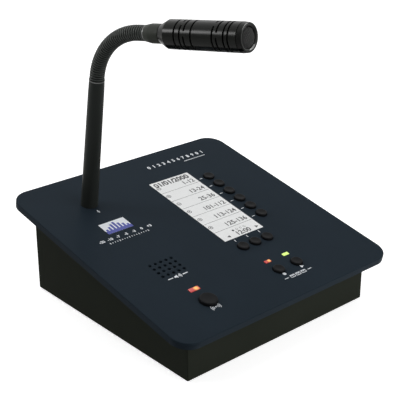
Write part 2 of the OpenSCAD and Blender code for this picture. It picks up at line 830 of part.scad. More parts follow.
module stem_nut() {
    color(steel) at_stem() translate([0, 0, -panel_t - washer_t - stem_nut_t])
        hex_nut(stem_nut_across, spigot_r + screw_gap, stem_nut_t);
}

// Angle of the neck's middle line at distance d from the neck's lower end, in degrees
function neck_turned(d) = min(neck_angle, max(0, (d - neck_arc_start) / neck_bend_r * 180 / PI));

// Straight length beyond the bend at distance d
function past_bend(d) = max(0, d - neck_arc_end);

// Point at angle a around the middle line, r away from it, at distance d along it
function neck_point(d, r, a) =
    let (t = neck_turned(d))
    let (run = past_bend(d))
    let (below = min(d, neck_arc_start))
    let (y = -neck_bend_r * (1 - cos(t)) - run * sin(t))
    let (z = neck_foot_z + below + neck_bend_r * sin(t) + run * cos(t))
    [r * cos(a), y + r * sin(a) * cos(t), z + r * sin(a) * sin(t)];

function ring_points(d, r) = [for (j = [0:neck_sides - 1]) neck_point(d, r, (j + 0.5) * 360 / neck_sides)];

// Two triangles for each side between ring k and ring m
function band(k, m) = [
    for (j = [0:neck_sides - 1])
        let (n = (j + 1) % neck_sides)
        for (f = [[k * neck_sides + j, m * neck_sides + j, m * neck_sides + n],
                  [k * neck_sides + j, m * neck_sides + n, k * neck_sides + n]]) f
];

// Outline of the neck's wall, as distance and radius: up the ribs and back down the bore
neck_outline = concat(
    [[0, tail_r], [rib_start, tail_r]],
    [for (i = [0:rib_count - 1]) for (half = [0, 1])
        [rib_start + (i + half / 2) * rib_step, half == 0 ? neck_groove_r : neck_r]],
    [[rib_end, neck_groove_r], [rib_end, tail_r], [neck_len, tail_r], [neck_len, neck_bore_r]],
    [for (i = [bore_steps:-1:0]) [neck_arc_start + i / bore_steps * neck_arc_len, neck_bore_r]],
    [[0, neck_bore_r]]
);

module gooseneck() {
    count = len(neck_outline);
    color(dark_metal) at_arm() polyhedron(
        points = [for (p = neck_outline) each ring_points(p[0], p[1])],
        faces = [for (k = [0:count - 1]) each band(k, (k + 1) % count)]
    );
}

module stem_cable() {
    color(rubber) at_arm() translate([0, 0, -cable_drop]) cylinder(h = cable_drop + neck_foot_z, r = cable_r);
}

module neck_cable() {
    stations = concat(
        [0],
        [for (i = [0:cable_steps]) neck_arc_start + i / cable_steps * neck_arc_len],
        [neck_len]
    );
    last = len(stations) - 1;
    color(rubber) at_arm() polyhedron(
        points = [for (d = stations) each ring_points(d, cable_r)],
        faces = concat(
            [for (k = [0:last - 1]) each band(k, k + 1)],
            [for (j = [1:neck_sides - 2]) [0, j, j + 1]],
            [for (j = [1:neck_sides - 2]) [last * neck_sides, last * neck_sides + j + 1, last * neck_sides + j]]
        )
    );
}

module head_cable() {
    color(rubber) at_head() translate([0, 0, cable_top]) cylinder(h = preamp_start - cable_top, r = cable_r);
}

module neck_ring() {
    color(pale_metal) at_head() translate([0, 0, neck_upper_run]) tube(neck_r + 3 * ring_lip, tail_r + tail_gap, ring_t);
}

module mic_collar() {
    color(dark_metal) at_head() translate([0, 0, collar_start]) difference() {
        union() {
            cylinder(h = collar_ramp_len, r1 = collar_start_r, r2 = collar_r);
            translate([0, 0, collar_ramp_len]) cylinder(h = collar_len - collar_ramp_len, r = collar_r);
            translate([0, 0, collar_ramp_len]) cylinder(h = collar_len - collar_ramp_len + groove_len, r = groove_r);
            translate([0, 0, collar_ramp_len])
                cylinder(h = collar_len - collar_ramp_len + groove_len + head_spigot_len, r = head_spigot_r);
        }
        translate([0, 0, -cut]) cylinder(h = tail_len + end_gap + cut, r = tail_r + tail_gap);
        cylinder(h = collar_len + groove_len + head_spigot_len + cut, r = cable_bore_r);
    }
}

// Slots around the head, each broken by two bridges
module slot_row(z, phase) {
    translate([0, 0, z - slot_w / 2]) rotate([0, 0, phase]) difference() {
        cylinder(h = slot_w, r = head_r + cut);
        translate([0, 0, -cut]) centred_box(2 * head_r + 4 * cut, bridge_w, slot_w + 2 * cut);
    }
}

module mic_body() {
    color(dark_metal) at_head() difference() {
        union() {
            translate([0, 0, body_start]) cylinder(h = head_taper_len, r1 = body_rear_r, r2 = head_r);
            translate([0, 0, slot_start]) cylinder(h = head_len - head_taper_len, r = head_r);
        }
        translate([0, 0, body_start - cut]) cylinder(h = head_spigot_len + cut + fit_gap, r = head_spigot_r + fit_gap);
        translate([0, 0, body_start]) cylinder(h = head_len, r = cable_bore_r);
        translate([0, 0, cavity_start]) cylinder(h = body_end - cavity_start + cut, r = bore_r);
        for (i = [0:len(slot_rows) - 1]) slot_row(slot_start + slot_rows[i], slot_phases[i]);
    }
}

module mic_front_ring() {
    edge = [for (a = [0:10:90])
        [head_r - front_round + front_round * cos(a), front_ring_len - front_round_len + front_round_len * sin(a)]];
    color(dark_metal) at_head() translate([0, 0, body_end]) rotate_extrude() polygon(concat(
        [[front_opening_r, -ring_spigot_len], [ring_spigot_r, -ring_spigot_len], [ring_spigot_r, 0], [head_r, 0]],
        edge, [[front_opening_r + front_flare, front_ring_len], [front_opening_r, front_ring_len - grille_recess]]
    ));
}

module mic_grille() {
    color(pale_metal) at_head() translate([0, 0, grille_z]) cylinder(h = grille_t, r = front_opening_r - fit_gap);
}

module slot_lining() {
    color(black) at_head() translate([0, 0, cavity_start])
        tube(lining_r, lining_r - lining_t, lining_end - cavity_start);
}

module mic_preamp() {
    color(board_green) at_head() translate([0, 0, preamp_start]) centred_box(preamp_w, preamp_t, preamp_len);
}

module capsule_mount() {
    color(rubber) at_head() translate([0, 0, mount_start]) tube(mount_r, capsule_r + fit_gap, mount_len);
}

module mic_capsule() {
    color(steel) at_head() translate([0, 0, capsule_start]) cylinder(h = capsule_len, r = capsule_r);
}

top_panel();
base_housing();
bottom_plate();
bottom_screws();
rubber_feet();
panel_nuts();
screen_window();
lcd_module();
control_board();
board_standoffs();
board_screws();
tact_switches();
for (i = [1:zone_count])
    key(zone_places[i - 1], key_r, key_rise);
for (i = [1:len(page_places)])
    key(page_places[i - 1], key_r, key_rise);
key(record_place, key_r, key_rise);  // record_button
key(play_place, key_r, key_rise);  // play_button
key(talk_place, talk_r, talk_rise);  // talk_button
talk_led();
record_led();
play_led();
speaker_gauze();
speaker_frame();
speaker_cone();
speaker_magnet();
main_board();
main_standoffs();
main_screws();
network_socket();
ribbon_sockets();
ribbon_cable();
mic_header();
stem_cable();
neck_cable();
head_cable();
mic_stem();
stem_ring();
stem_washer();
stem_nut();
gooseneck();
neck_ring();
mic_collar();
mic_body();
mic_front_ring();
mic_grille();
slot_lining();
mic_preamp();
capsule_mount();
mic_capsule();
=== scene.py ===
"""Looks of a desk paging console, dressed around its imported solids."""
import json
import math

import bmesh
import bpy
from bpy.props import FloatProperty, FloatVectorProperty, IntProperty, PointerProperty
from mathutils import Matrix, Vector


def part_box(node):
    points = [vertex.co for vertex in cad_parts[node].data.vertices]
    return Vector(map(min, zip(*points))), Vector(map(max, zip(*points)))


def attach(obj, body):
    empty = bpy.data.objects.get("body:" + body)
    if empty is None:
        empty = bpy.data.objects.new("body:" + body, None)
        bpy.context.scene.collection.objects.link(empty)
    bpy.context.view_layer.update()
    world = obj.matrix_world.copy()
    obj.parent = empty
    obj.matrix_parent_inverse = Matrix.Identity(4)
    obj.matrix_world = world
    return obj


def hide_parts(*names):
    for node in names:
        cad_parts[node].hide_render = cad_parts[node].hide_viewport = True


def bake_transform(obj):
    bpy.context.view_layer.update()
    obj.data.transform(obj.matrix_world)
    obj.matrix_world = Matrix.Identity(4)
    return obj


bl_info = {
    "name": "Paging console looks",
    "version": (1, 0, 0),
    "blender": (4, 5, 0),
    "location": "3D View > Sidebar > Console",
    "description": "Finishes, keys, marks and a ribbed neck for a desk paging console",
    "category": "Object",
}

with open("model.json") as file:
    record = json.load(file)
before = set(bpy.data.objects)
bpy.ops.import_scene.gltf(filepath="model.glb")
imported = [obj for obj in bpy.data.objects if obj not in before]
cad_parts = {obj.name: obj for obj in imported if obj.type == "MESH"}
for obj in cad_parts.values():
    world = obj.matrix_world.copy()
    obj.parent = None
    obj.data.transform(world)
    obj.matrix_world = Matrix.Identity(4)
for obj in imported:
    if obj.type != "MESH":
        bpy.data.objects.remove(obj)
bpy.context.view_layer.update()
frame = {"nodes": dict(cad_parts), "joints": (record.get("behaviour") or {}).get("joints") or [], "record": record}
NODES = frame["nodes"]
JOINTS = {joint["name"]: joint for joint in frame["joints"]}
SLOT_OF = {part["node"]: part["material_slot"] for part in frame["record"]["subparts"]}
BODY_OF = {
    node: body
    for body, members in frame["record"]["behaviour"]["bodies"].items()
    for node in members
}
MM = 0.001
WHITE = (1, 1, 1, 1)
ROOT = "console"
GLINT = "lit_by_glint_lamp"
LAMP_FINISH = {"talk_led": "red_lamp", "record_led": "record_lamp", "play_led": "green_lamp"}
FINISHES = {}


# Frames of the panel, the stem and the microphone head, read from the joints and the solids

def span(node, matrix):
    """Lowest and highest corner of a solid, measured in the frame of a matrix."""
    back = matrix.inverted()
    points = [back @ v.co for v in NODES[node].data.vertices]
    low = Vector([min(p[i] for p in points) for i in range(3)])
    high = Vector([max(p[i] for p in points) for i in range(3)])
    return low, high


def panel_matrix():
    """Frame on the middle of the panel's front edge: y runs up the slope, z out of the panel."""
    press = Vector(JOINTS["talk_key_press"]["axis"])
    slope = Matrix.Rotation(math.atan2(press.y, -press.z), 4, "X")
    low, high = span("top_panel", slope)
    return slope @ Matrix.Translation((0, low.y, high.z))


PANEL = panel_matrix()
PANEL_UP = PANEL.to_3x3() @ Vector((0, 0, 1))


def middle_of(node):
    """Middle of a solid on the panel: x across it and s up its slope."""
    low, high = span(node, PANEL)
    return (low.x + high.x) / 2, (low.y + high.y) / 2


class NeckLine:
    """Middle line of the arm: up the leaning stem, round the neck's bend and along the head.

    Its frame stands where the stem meets the panel: z runs up the stem, and the neck bends towards -y.
    The two hinges sit at a quarter and three quarters of the bend, so they give its angle and radius.
    """

    def __init__(self):
        x_axis = Vector(JOINTS["neck_bend"]["axis"]).normalized()
        lower = Vector(JOINTS["neck_bend"]["pos_m"])
        chord = Vector(JOINTS["head_turn"]["pos_m"]) - lower
        outwards = chord.normalized().cross(x_axis)
        quarter = outwards.angle(Vector(JOINTS["head_turn"]["axis"]))
        z_axis = Matrix.Rotation(-2 * quarter, 3, x_axis) @ chord.normalized()
        y_axis = z_axis.cross(x_axis)
        self.angle = 4 * quarter
        self.radius = chord.length / (2 * math.sin(quarter))
        bend_start = lower + self.radius * ((1 - math.cos(quarter)) * y_axis - math.sin(quarter) * z_axis)
        self.start = (bend_start - PANEL.translation).dot(PANEL_UP) / z_axis.dot(PANEL_UP)
        self.end = self.start + self.radius * self.angle
        turn = Matrix((x_axis, y_axis, z_axis)).transposed().to_4x4()
        self.frame = Matrix.Translation(bend_start - self.start * z_axis) @ turn

    def point(self, distance, x=0.0, y=0.0):
        """Point beside the line at a distance from the stem's foot, x across the bend and y outwards."""
        turn = min(max(distance - self.start, 0) / self.radius, self.angle)
        run = max(distance - self.end, 0)
        rise = min(distance, self.start)
        forward = -self.radius * (1 - math.cos(turn)) - run * math.sin(turn)
        up = rise + self.radius * math.sin(turn) + run * math.cos(turn)
        return self.frame @ Vector((x, forward + y * math.cos(turn), up + y * math.sin(turn)))


NECK = NeckLine()
ARM = NECK.frame


def head_matrix():
    """Frame at the end of the neck's bend: z runs along the microphone head."""
    turn = ARM.to_3x3().to_4x4() @ Matrix.Rotation(NECK.angle, 4, "X")
    return Matrix.Translation(NECK.point(NECK.end)) @ turn


HEAD = head_matrix()


# Colours and sizes that a user may change

def linear(red, green, blue):
    """Linear colour from three display values of 0 to 255."""
    def channel(value):
        value = value / 255
        return value / 12.92 if value <= 0.04045 else ((value + 0.055) / 1.055) ** 2.4
    return channel(red), channel(green), channel(blue)


def colour_prop(name, description, rgb):
    return FloatVectorProperty(
        name=name, description=description, subtype="COLOR", size=3, min=0, max=1, default=linear(*rgb)
    )


def length_prop(name, description, millimetres):
    return FloatProperty(
        name=name, description=description, subtype="DISTANCE", unit="LENGTH", precision=5,
        min=0, default=millimetres * MM,
    )


class ConsoleColours(bpy.types.PropertyGroup):
    """Colours of the console's finishes."""

    panel: colour_prop("Panel", "Paint of the top panel", (37, 46, 54))
    base: colour_prop("Base", "Paint of the base", (45, 48, 42))
    stem: colour_prop("Stem", "Paint of the stem", (38, 41, 39))
    # The neck's colour shows on the rib crests; the coating darkens its grooves as painted shade.
    neck: colour_prop("Neck", "Coating of the ribbed neck", (74, 78, 75))
    collar: colour_prop("Collar", "Rubber of the microphone's collar", (54, 57, 52))
    head: colour_prop("Head", "Paint of the microphone head", (19, 21, 18))
    # Painted shade: the bezel is the head's black paint made darker, so that the glint lamp, which lights only
    # this ring, adds its highlights without lifting the ring's tone.
    bezel: colour_prop("Bezel", "Paint of the microphone's front ring", (9, 10, 9))
    wire: colour_prop("Wire cloth", "Wires of the microphone's grille", (84, 85, 84))
    rings: colour_prop("Rings", "Metal of the rings at the neck's ends", (88, 89, 88))
    key: colour_prop("Keys", "Plastic of the keys", (13, 14, 16))
    print_white: colour_prop("Print", "White print on the panel", (236, 240, 245))
    print_dark: colour_prop("Display ink", "Dark marks on the display", (40, 42, 44))
    badge: colour_prop("Badge", "Blue bars of the level badge", (62, 72, 160))
    display: colour_prop("Display", "Lit face of the display", (225, 226, 226))
    lamp_red: colour_prop("Red lamp", "Outer colour of the red lamps", (158, 48, 44))
    lamp_amber: colour_prop("Lamp core", "Bright core of the red lamps", (252, 186, 96))
    lamp_green: colour_prop("Green lamp", "Colour of the green lamp", (190, 216, 112))


class ConsoleSizes(bpy.types.PropertyGroup):
    """Sizes of the pieces that are modelled here."""

    panel_edge: length_prop("Panel edge", "Rounding of the panel's cut edges", 0.25)
    base_edge: length_prop("Base edge", "Rounding of the base's edges", 0.3)
    key_flange: length_prop("Key flange", "How far a key's hidden flange passes its cap", 0.9)
    key_dish: length_prop("Key dish", "Depth of the dish in a key's top", 0.35)
    key_edge: length_prop("Key edge", "Rounding of a key's top edge", 0.7)
    print_height: length_prop("Print height", "Thickness of the printed marks", 0.04)
    lamp_edge: length_prop("Lamp edge", "Rounding of the lamps", 0.3)
    rib_pitch: length_prop("Rib pitch", "Distance between the neck's ribs", 1.9)
    rib_crest: length_prop("Rib crest", "Radius of the neck over its ribs", 5.25)
    rib_groove: length_prop("Rib groove", "Radius of the neck between its ribs", 4.6)
    neck_bore: length_prop("Neck bore", "Radius of the neck's bore", 3.0)
    neck_tail: length_prop("Neck tail", "Radius of the neck's plain ends", 3.9)
    wire_pitch: length_prop("Wire pitch", "Distance between the grille's wires", 1.45)
    wire_width: length_prop("Wire width", "Thickness of the grille's wires", 0.4)
    grille_dome: length_prop("Grille dome", "How far the grille bulges in its middle", 1.2)
    rib_rings: IntProperty(name="Rib rings", description="Rings of points in each rib", default=8, min=4)


def colours():
    return bpy.context.scene.console_colours


def sizes():
    return bpy.context.scene.console_sizes


# Shader tools

def set_inputs(node, inputs):
    """Links each input that is given a socket, and sets each other one to its value."""
    for name, value in inputs.items():
        if isinstance(value, bpy.types.NodeSocket):
            node.id_data.links.new(value, node.inputs[name])
        else:
            node.inputs[name].default_value = value


def add_node(tree, kind, inputs, **settings):
    """New node with its settings and inputs."""
    node = tree.nodes.new(kind)
    for name, value in settings.items():
        setattr(node, name, value)
    set_inputs(node, inputs)
    return node


def combined(tree, operation, first, second):
    """Result of a Math node on two sockets or values."""
    return add_node(tree, "ShaderNodeMath", {0: first, 1: second}, operation=operation).outputs["Value"]


def object_place(tree):
    """Object coordinates."""
    return tree.nodes.new("ShaderNodeTexCoord").outputs["Object"]


def ramp_between(tree, mask, low, high, low_at=0.3, high_at=0.7):
    """Colour that goes from low to high with a mask."""
    ramp = add_node(tree, "ShaderNodeValToRGB", {"Fac": mask})
    for element, colour, place in zip(ramp.color_ramp.elements, (low, high), (low_at, high_at)):
        element.position = place
        element.color = colour
    return ramp.outputs["Color"]


def shade(colour, factor):
    return tuple(min(1.0, c * factor) for c in colour) + (1.0,)


# Effects that several finishes share

def effect_group(name, inputs, outputs):
    """New node group with plain values for inputs, each with its default, and for outputs."""
    group = bpy.data.node_groups.new(name, "ShaderNodeTree")
    for title, default in inputs.items():
        made = group.interface.new_socket(name=title, in_out="INPUT", socket_type="NodeSocketFloat")
        made.default_value = default
    for title in outputs:
        group.interface.new_socket(name=title, in_out="OUTPUT", socket_type="NodeSocketFloat")
    return group


def grain_group():
    """Fine grain of paint or moulded plastic: a height and a slow patchy mask."""
    name = "fine_grain"
    if name in bpy.data.node_groups:
        return bpy.data.node_groups[name]
    group = effect_group(name, {"Scale": 2200.0, "Patch Scale": 22.0}, ("Height", "Patches"))
    given = group.nodes.new("NodeGroupInput")
    place = object_place(group)
    made = {}
    for output, scale, detail in (("Height", "Scale", 2.0), ("Patches", "Patch Scale", 4.0)):
        inputs = {"Vector": place, "Scale": given.outputs[scale], "Detail": detail}
        made[output] = add_node(group, "ShaderNodeTexNoise", inputs).outputs["Fac"]
    add_node(group, "NodeGroupOutput", made)
    return group


def weave_group():
    """Height of a plain weave, from two crossed waves."""
    name = "plain_weave"
    if name in bpy.data.node_groups:
        return bpy.data.node_groups[name]
    group = effect_group(name, {"Scale": 900.0}, ("Height",))
    given = group.nodes.new("NodeGroupInput")
    inputs = {"Vector": object_place(group), "Scale": given.outputs["Scale"]}
    along, across = [
        add_node(group, "ShaderNodeTexWave", inputs, bands_direction=direction).outputs["Fac"]
        for direction in ("X", "Y")
    ]
    add_node(group, "NodeGroupOutput", {"Height": combined(group, "MULTIPLY", along, across)})
    return group


def add_grain(tree, inputs):
    """Outputs of the fine grain, placed in a finish with its own values."""
    return add_node(tree, "ShaderNodeGroup", inputs, node_tree=grain_group()).outputs


def add_weave(tree, scale):
    """Height of the plain weave, placed in a finish at its own scale."""
    return add_node(tree, "ShaderNodeGroup", {"Scale": scale}, node_tree=weave_group()).outputs["Height"]


def add_relief(tree, height, strength, depth):
    """Normal of a surface with a fine relief."""
    relief = add_node(tree, "ShaderNodeBump", {"Height": height, "Strength": strength, "Distance": depth})
    return relief.outputs["Normal"]


# Finishes

def new_material(name):
    """Files a new finish under its name, and gives its node tree and its Principled shader."""
    material = bpy.data.materials.new(name)
    material.use_nodes = True
    FINISHES[name] = material
    return material.node_tree, material.node_tree.nodes["Principled BSDF"]


def grained(name, colour, roughness, bump, scale, metallic=0.0, specular=0.5, patchy=0.1):
    """Paint, plastic, rubber or metal with a fine grain, patchy tone and patchy gloss."""
    tree, shader = new_material(name)
    grain = add_grain(tree, {"Scale": scale})
    gloss_change = 0.06
    gloss = add_node(tree, "ShaderNodeMapRange", {
        "Value": grain["Patches"],
        "To Min": max(0.02, roughness - gloss_change),
        "To Max": min(1.0, roughness + gloss_change),
    })
    set_inputs(shader, {
        "Base Color": ramp_between(
            tree, grain["Patches"], shade(colour, 1 - patchy), shade(colour, 1 + patchy)
        ),
        "Roughness": gloss.outputs["Result"],
        "Metallic": metallic,
        "Specular IOR Level": specular,
        "Normal": add_relief(tree, grain["Height"], bump, 0.05 * MM),
    })
    return tree, shader


def woven(name, colour, roughness, scale):
    """Cloth with a plain weave."""
    tree, shader = new_material(name)
    weave = add_weave(tree, scale)
    set_inputs(shader, {
        "Base Color": ramp_between(tree, weave, shade(colour, 0.4), shade(colour, 1.2), 0.0, 1.0),
        "Roughness": roughness,
        "Normal": add_relief(tree, weave, 0.6, 0.2 * MM),
    })


def lit_lamp(name, core, rim, middle, reach):
    """Translucent lamp: a bright core that fades to the rim's colour, centred on a point."""
    tree, shader = new_material(name)
    mapping = add_node(tree, "ShaderNodeMapping", {
        "Vector": object_place(tree),
        "Location": [-c / reach for c in middle],
        "Scale": [1 / reach] * 3,
    })
    ball = add_node(
        tree, "ShaderNodeTexGradient", {"Vector": mapping.outputs["Vector"]}, gradient_type="SPHERICAL"
    )
    tone = ramp_between(tree, ball.outputs["Fac"], shade(rim, 1), shade(core, 1), 0.4, 0.95)
    set_inputs(shader, {
        "Base Color": tone, "Roughness": 0.25, "Emission Color": tone, "Emission Strength": 0.75,
    })


def display_face(name, colour):
    """Display with an even pale glow and a faint cell grid: partly its backlight, and partly painted light that
    stands in for the light the window over it would let through.
    """
    tree, shader = new_material(name)
    patches = add_grain(tree, {"Patch Scale": 14.0})["Patches"]
    cells = add_weave(tree, 1400.0)
    set_inputs(shader, {
        "Base Color": ramp_between(tree, cells, shade(colour, 0.25), shade(colour, 0.3), 0.0, 1.0),
        "Roughness": 0.4,
        "Specular IOR Level": 0.2,
        # The glow is partly painted light, in place of the light that would reach the display through its window.
        "Emission Color": ramp_between(tree, patches, shade(colour, 0.96), shade(colour, 1.0)),
        "Emission Strength": 0.74,
    })


def clear_cover(name):
    """Clear window over the display."""
    _, shader = new_material(name)
    set_inputs(shader, {"Base Color": WHITE, "Roughness": 0.04, "IOR": 1.45, "Transmission Weight": 1.0})


def striped(name, colour, scale):
    """Ribbon cable with parallel wires."""
    tree, shader = new_material(name)
    wave = add_node(tree, "ShaderNodeTexWave", {"Vector": object_place(tree), "Scale": scale})
    tone = ramp_between(tree, wave.outputs["Fac"], shade(colour, 0.7), shade(colour, 1.0), 0.0, 0.5)
    set_inputs(shader, {"Base Color": tone, "Roughness": 0.5})


def ribbed_coating(name, colour):
    """Coating of the neck, with painted shade dark in the grooves and a painted highlight paler on the crests."""
    tree, shader = grained(name, colour, 0.42, 0.15, 3000.0, specular=0.1)
    tone = shader.inputs["Base Color"].links[0].from_socket
    rib = add_node(tree, "ShaderNodeAttribute", {}, attribute_name="rib").outputs["Fac"]
    # Painted shade and highlight: the grooves are darkened and the crests keep the coating's full tone, in place
    # of the ribs' own light and shade.
    groove_shade = ramp_between(tree, rib, shade(WHITE[:3], 0.08), WHITE, 0.7, 1.0)
    rib_shaded = add_node(tree, "ShaderNodeVectorMath", {0: tone, 1: groove_shade}, operation="MULTIPLY")
    set_inputs(shader, {"Base Color": rib_shaded.outputs["Vector"]})


def make_finishes():
    """Makes every finish, by the record's slot names and by the names used here."""
    c = colours()
    grained("panel_paint", c.panel, 0.42, 0.2, 2600.0, specular=0.015, patchy=0.05)
    grained("base_paint", c.base, 0.5, 0.25, 2000.0, specular=0.008, patchy=0.06)
    grained("arm_paint", c.head, 0.2, 0.08, 3000.0, specular=0.09, patchy=0.06)
    # Darker than the head's paint as painted shade, against the glint lamp that lights only the front ring.
    grained("bezel_paint", c.bezel, 0.15, 0.04, 3000.0, specular=0.08, patchy=0.06)
    grained("stem_paint", c.stem, 0.45, 0.08, 3000.0, specular=0.08, patchy=0.06)
    ribbed_coating("neck_coating", c.neck)
    grained("collar_rubber", c.collar, 0.5, 0.15, 3000.0, specular=0.08, patchy=0.06)
    grained("key_plastic", c.key, 0.45, 0.2, 4000.0, specular=0.07, patchy=0.08)
    grained("black_plastic", linear(28, 28, 29), 0.55, 0.3, 3000.0)
    grained("rubber", linear(24, 24, 24), 0.8, 0.4, 2500.0, specular=0.2)
    grained("steel", linear(186, 188, 190), 0.3, 0.15, 3500.0, metallic=1.0)
    grained("pale_metal", c.rings, 0.4, 0.1, 3500.0, metallic=1.0)
    grained("gold", linear(214, 176, 92), 0.25, 0.05, 3000.0, metallic=1.0)
    grained("ferrite", linear(62, 62, 64), 0.7, 0.5, 1800.0)
    grained("board", linear(28, 92, 56), 0.45, 0.2, 1500.0, patchy=0.2)
    grained("print_white", c.print_white, 0.55, 0.05, 4000.0, patchy=0.03)
    grained("print_dark", c.print_dark, 0.5, 0.05, 4000.0, patchy=0.03)
    grained("badge_blue", c.badge, 0.5, 0.05, 4000.0, patchy=0.05)
    woven("cloth", linear(30, 30, 30), 0.9, 900.0)
    grained("mesh", c.wire, 0.42, 0.1, 4000.0, metallic=0.2, specular=0.1)
    striped("ribbon", linear(150, 150, 152), 400.0)
    display_face("display", c.display)
    clear_cover("window")
    for node, finish in LAMP_FINISH.items():
        low, high = span(node, PANEL)
        width = high.x - low.x
        core_at = PANEL @ Vector((low.x + 0.65 * width, (low.y + high.y) / 2, high.z))
        tones = (c.lamp_green, c.lamp_green) if finish == "green_lamp" else (c.lamp_amber, c.lamp_red)
        lit_lamp(finish, *tones, core_at, 0.4 * width)


# Mesh tools

def add_piece(name, bm, finish, node=None, body=None, rides=True):
    """Turns a bmesh into a piece: in place of a solid, or beside the solids on a body and a slot."""
    mesh = bpy.data.meshes.new(name)
    bm.to_mesh(mesh)
    bm.free()
    mesh.materials.append(FINISHES[finish])
    piece = bpy.data.objects.new(name, mesh)
    bpy.context.scene.collection.objects.link(piece)
    if rides:
        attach(piece, body or BODY_OF[node])
    if node:
        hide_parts(node)
    return piece


def smooth_shading(bm, limit=math.radians(35), broad=math.inf):
    """Smooth faces up to a broad one's area, with edges sharper than the limit kept crisp."""
    for face in bm.faces:
        face.smooth = face.calc_area() < broad
    for edge in bm.edges:
        if edge.is_manifold and edge.calc_face_angle(0) > limit:
            edge.smooth = False


def soften(bm, width, segments=2, limit=math.radians(30)):
    """Rounds every edge that is sharper than the limit."""
    sharp = [e for e in bm.edges if e.is_manifold and e.calc_face_angle(0) > limit]
    bmesh.ops.bevel(
        bm, geom=sharp, offset=width, offset_type="OFFSET", affect="EDGES", segments=segments,
        profile=0.5, material=-1, clamp_overlap=True,
    )
    smooth_shading(bm, broad=150 * MM * MM)
    return bm


def spun(profile, steps=64, closed=False):
    """Solid of revolution about z from a profile of radius and height."""
    same = 1e-7
    bm = bmesh.new()
    points = [bm.verts.new((radius, 0, height)) for radius, height in profile]
    pairs = list(zip(points, points[1:]))
    if closed:
        pairs.append((points[-1], points[0]))
    edges = [bm.edges.new(pair) for pair in pairs]
    bmesh.ops.spin(
        bm, geom=points + edges, cent=(0, 0, 0), axis=(0, 0, 1), angle=math.tau, steps=steps,
        use_merge=True,
    )
    bmesh.ops.remove_doubles(bm, verts=bm.verts[:], dist=same)
    bmesh.ops.dissolve_degenerate(bm, dist=same, edges=bm.edges[:])
    bmesh.ops.recalc_face_normals(bm, faces=bm.faces[:])
    return bm


def placed(bm, matrix):
    bmesh.ops.transform(bm, matrix=matrix, verts=bm.verts[:])
    return bm


def joined(bm, other):
    """Adds another bmesh to the first, and frees it."""
    mesh = bpy.data.meshes.new("joined")
    other.to_mesh(mesh)
    other.free()
    bm.from_mesh(mesh)
    bpy.data.meshes.remove(mesh)


def add_box(bm, place, width, depth, height):
    """Adds a box, centred on the place that a matrix gives."""
    bmesh.ops.create_cube(bm, size=1.0, matrix=place @ Matrix.Diagonal((width, depth, height, 1)))


def copy_of(node):
    """Merged copy of a solid's mesh, with its flat faces joined up."""
    bm = bmesh.new()
    bm.from_mesh(NODES[node].data)
    bmesh.ops.remove_doubles(bm, verts=bm.verts[:], dist=1e-6)
    bmesh.ops.dissolve_limit(
        bm, angle_limit=math.radians(0.2), verts=bm.verts[:], edges=bm.edges[:],
        use_dissolve_boundaries=False,
    )
    return bm


def evenly(start, stop, steps):
    """Evenly spaced values from start to stop, both included."""
    return [start + (stop - start) * i / steps for i in range(steps + 1)]


def arc(centre_r, centre_z, radius, start, stop, steps):
    """Points of a profile's arc, from one angle to another in degrees."""
    angles = [math.radians(angle) for angle in evenly(start, stop, steps)]
    return [(centre_r + radius * math.cos(a), centre_z + radius * math.sin(a)) for a in angles]


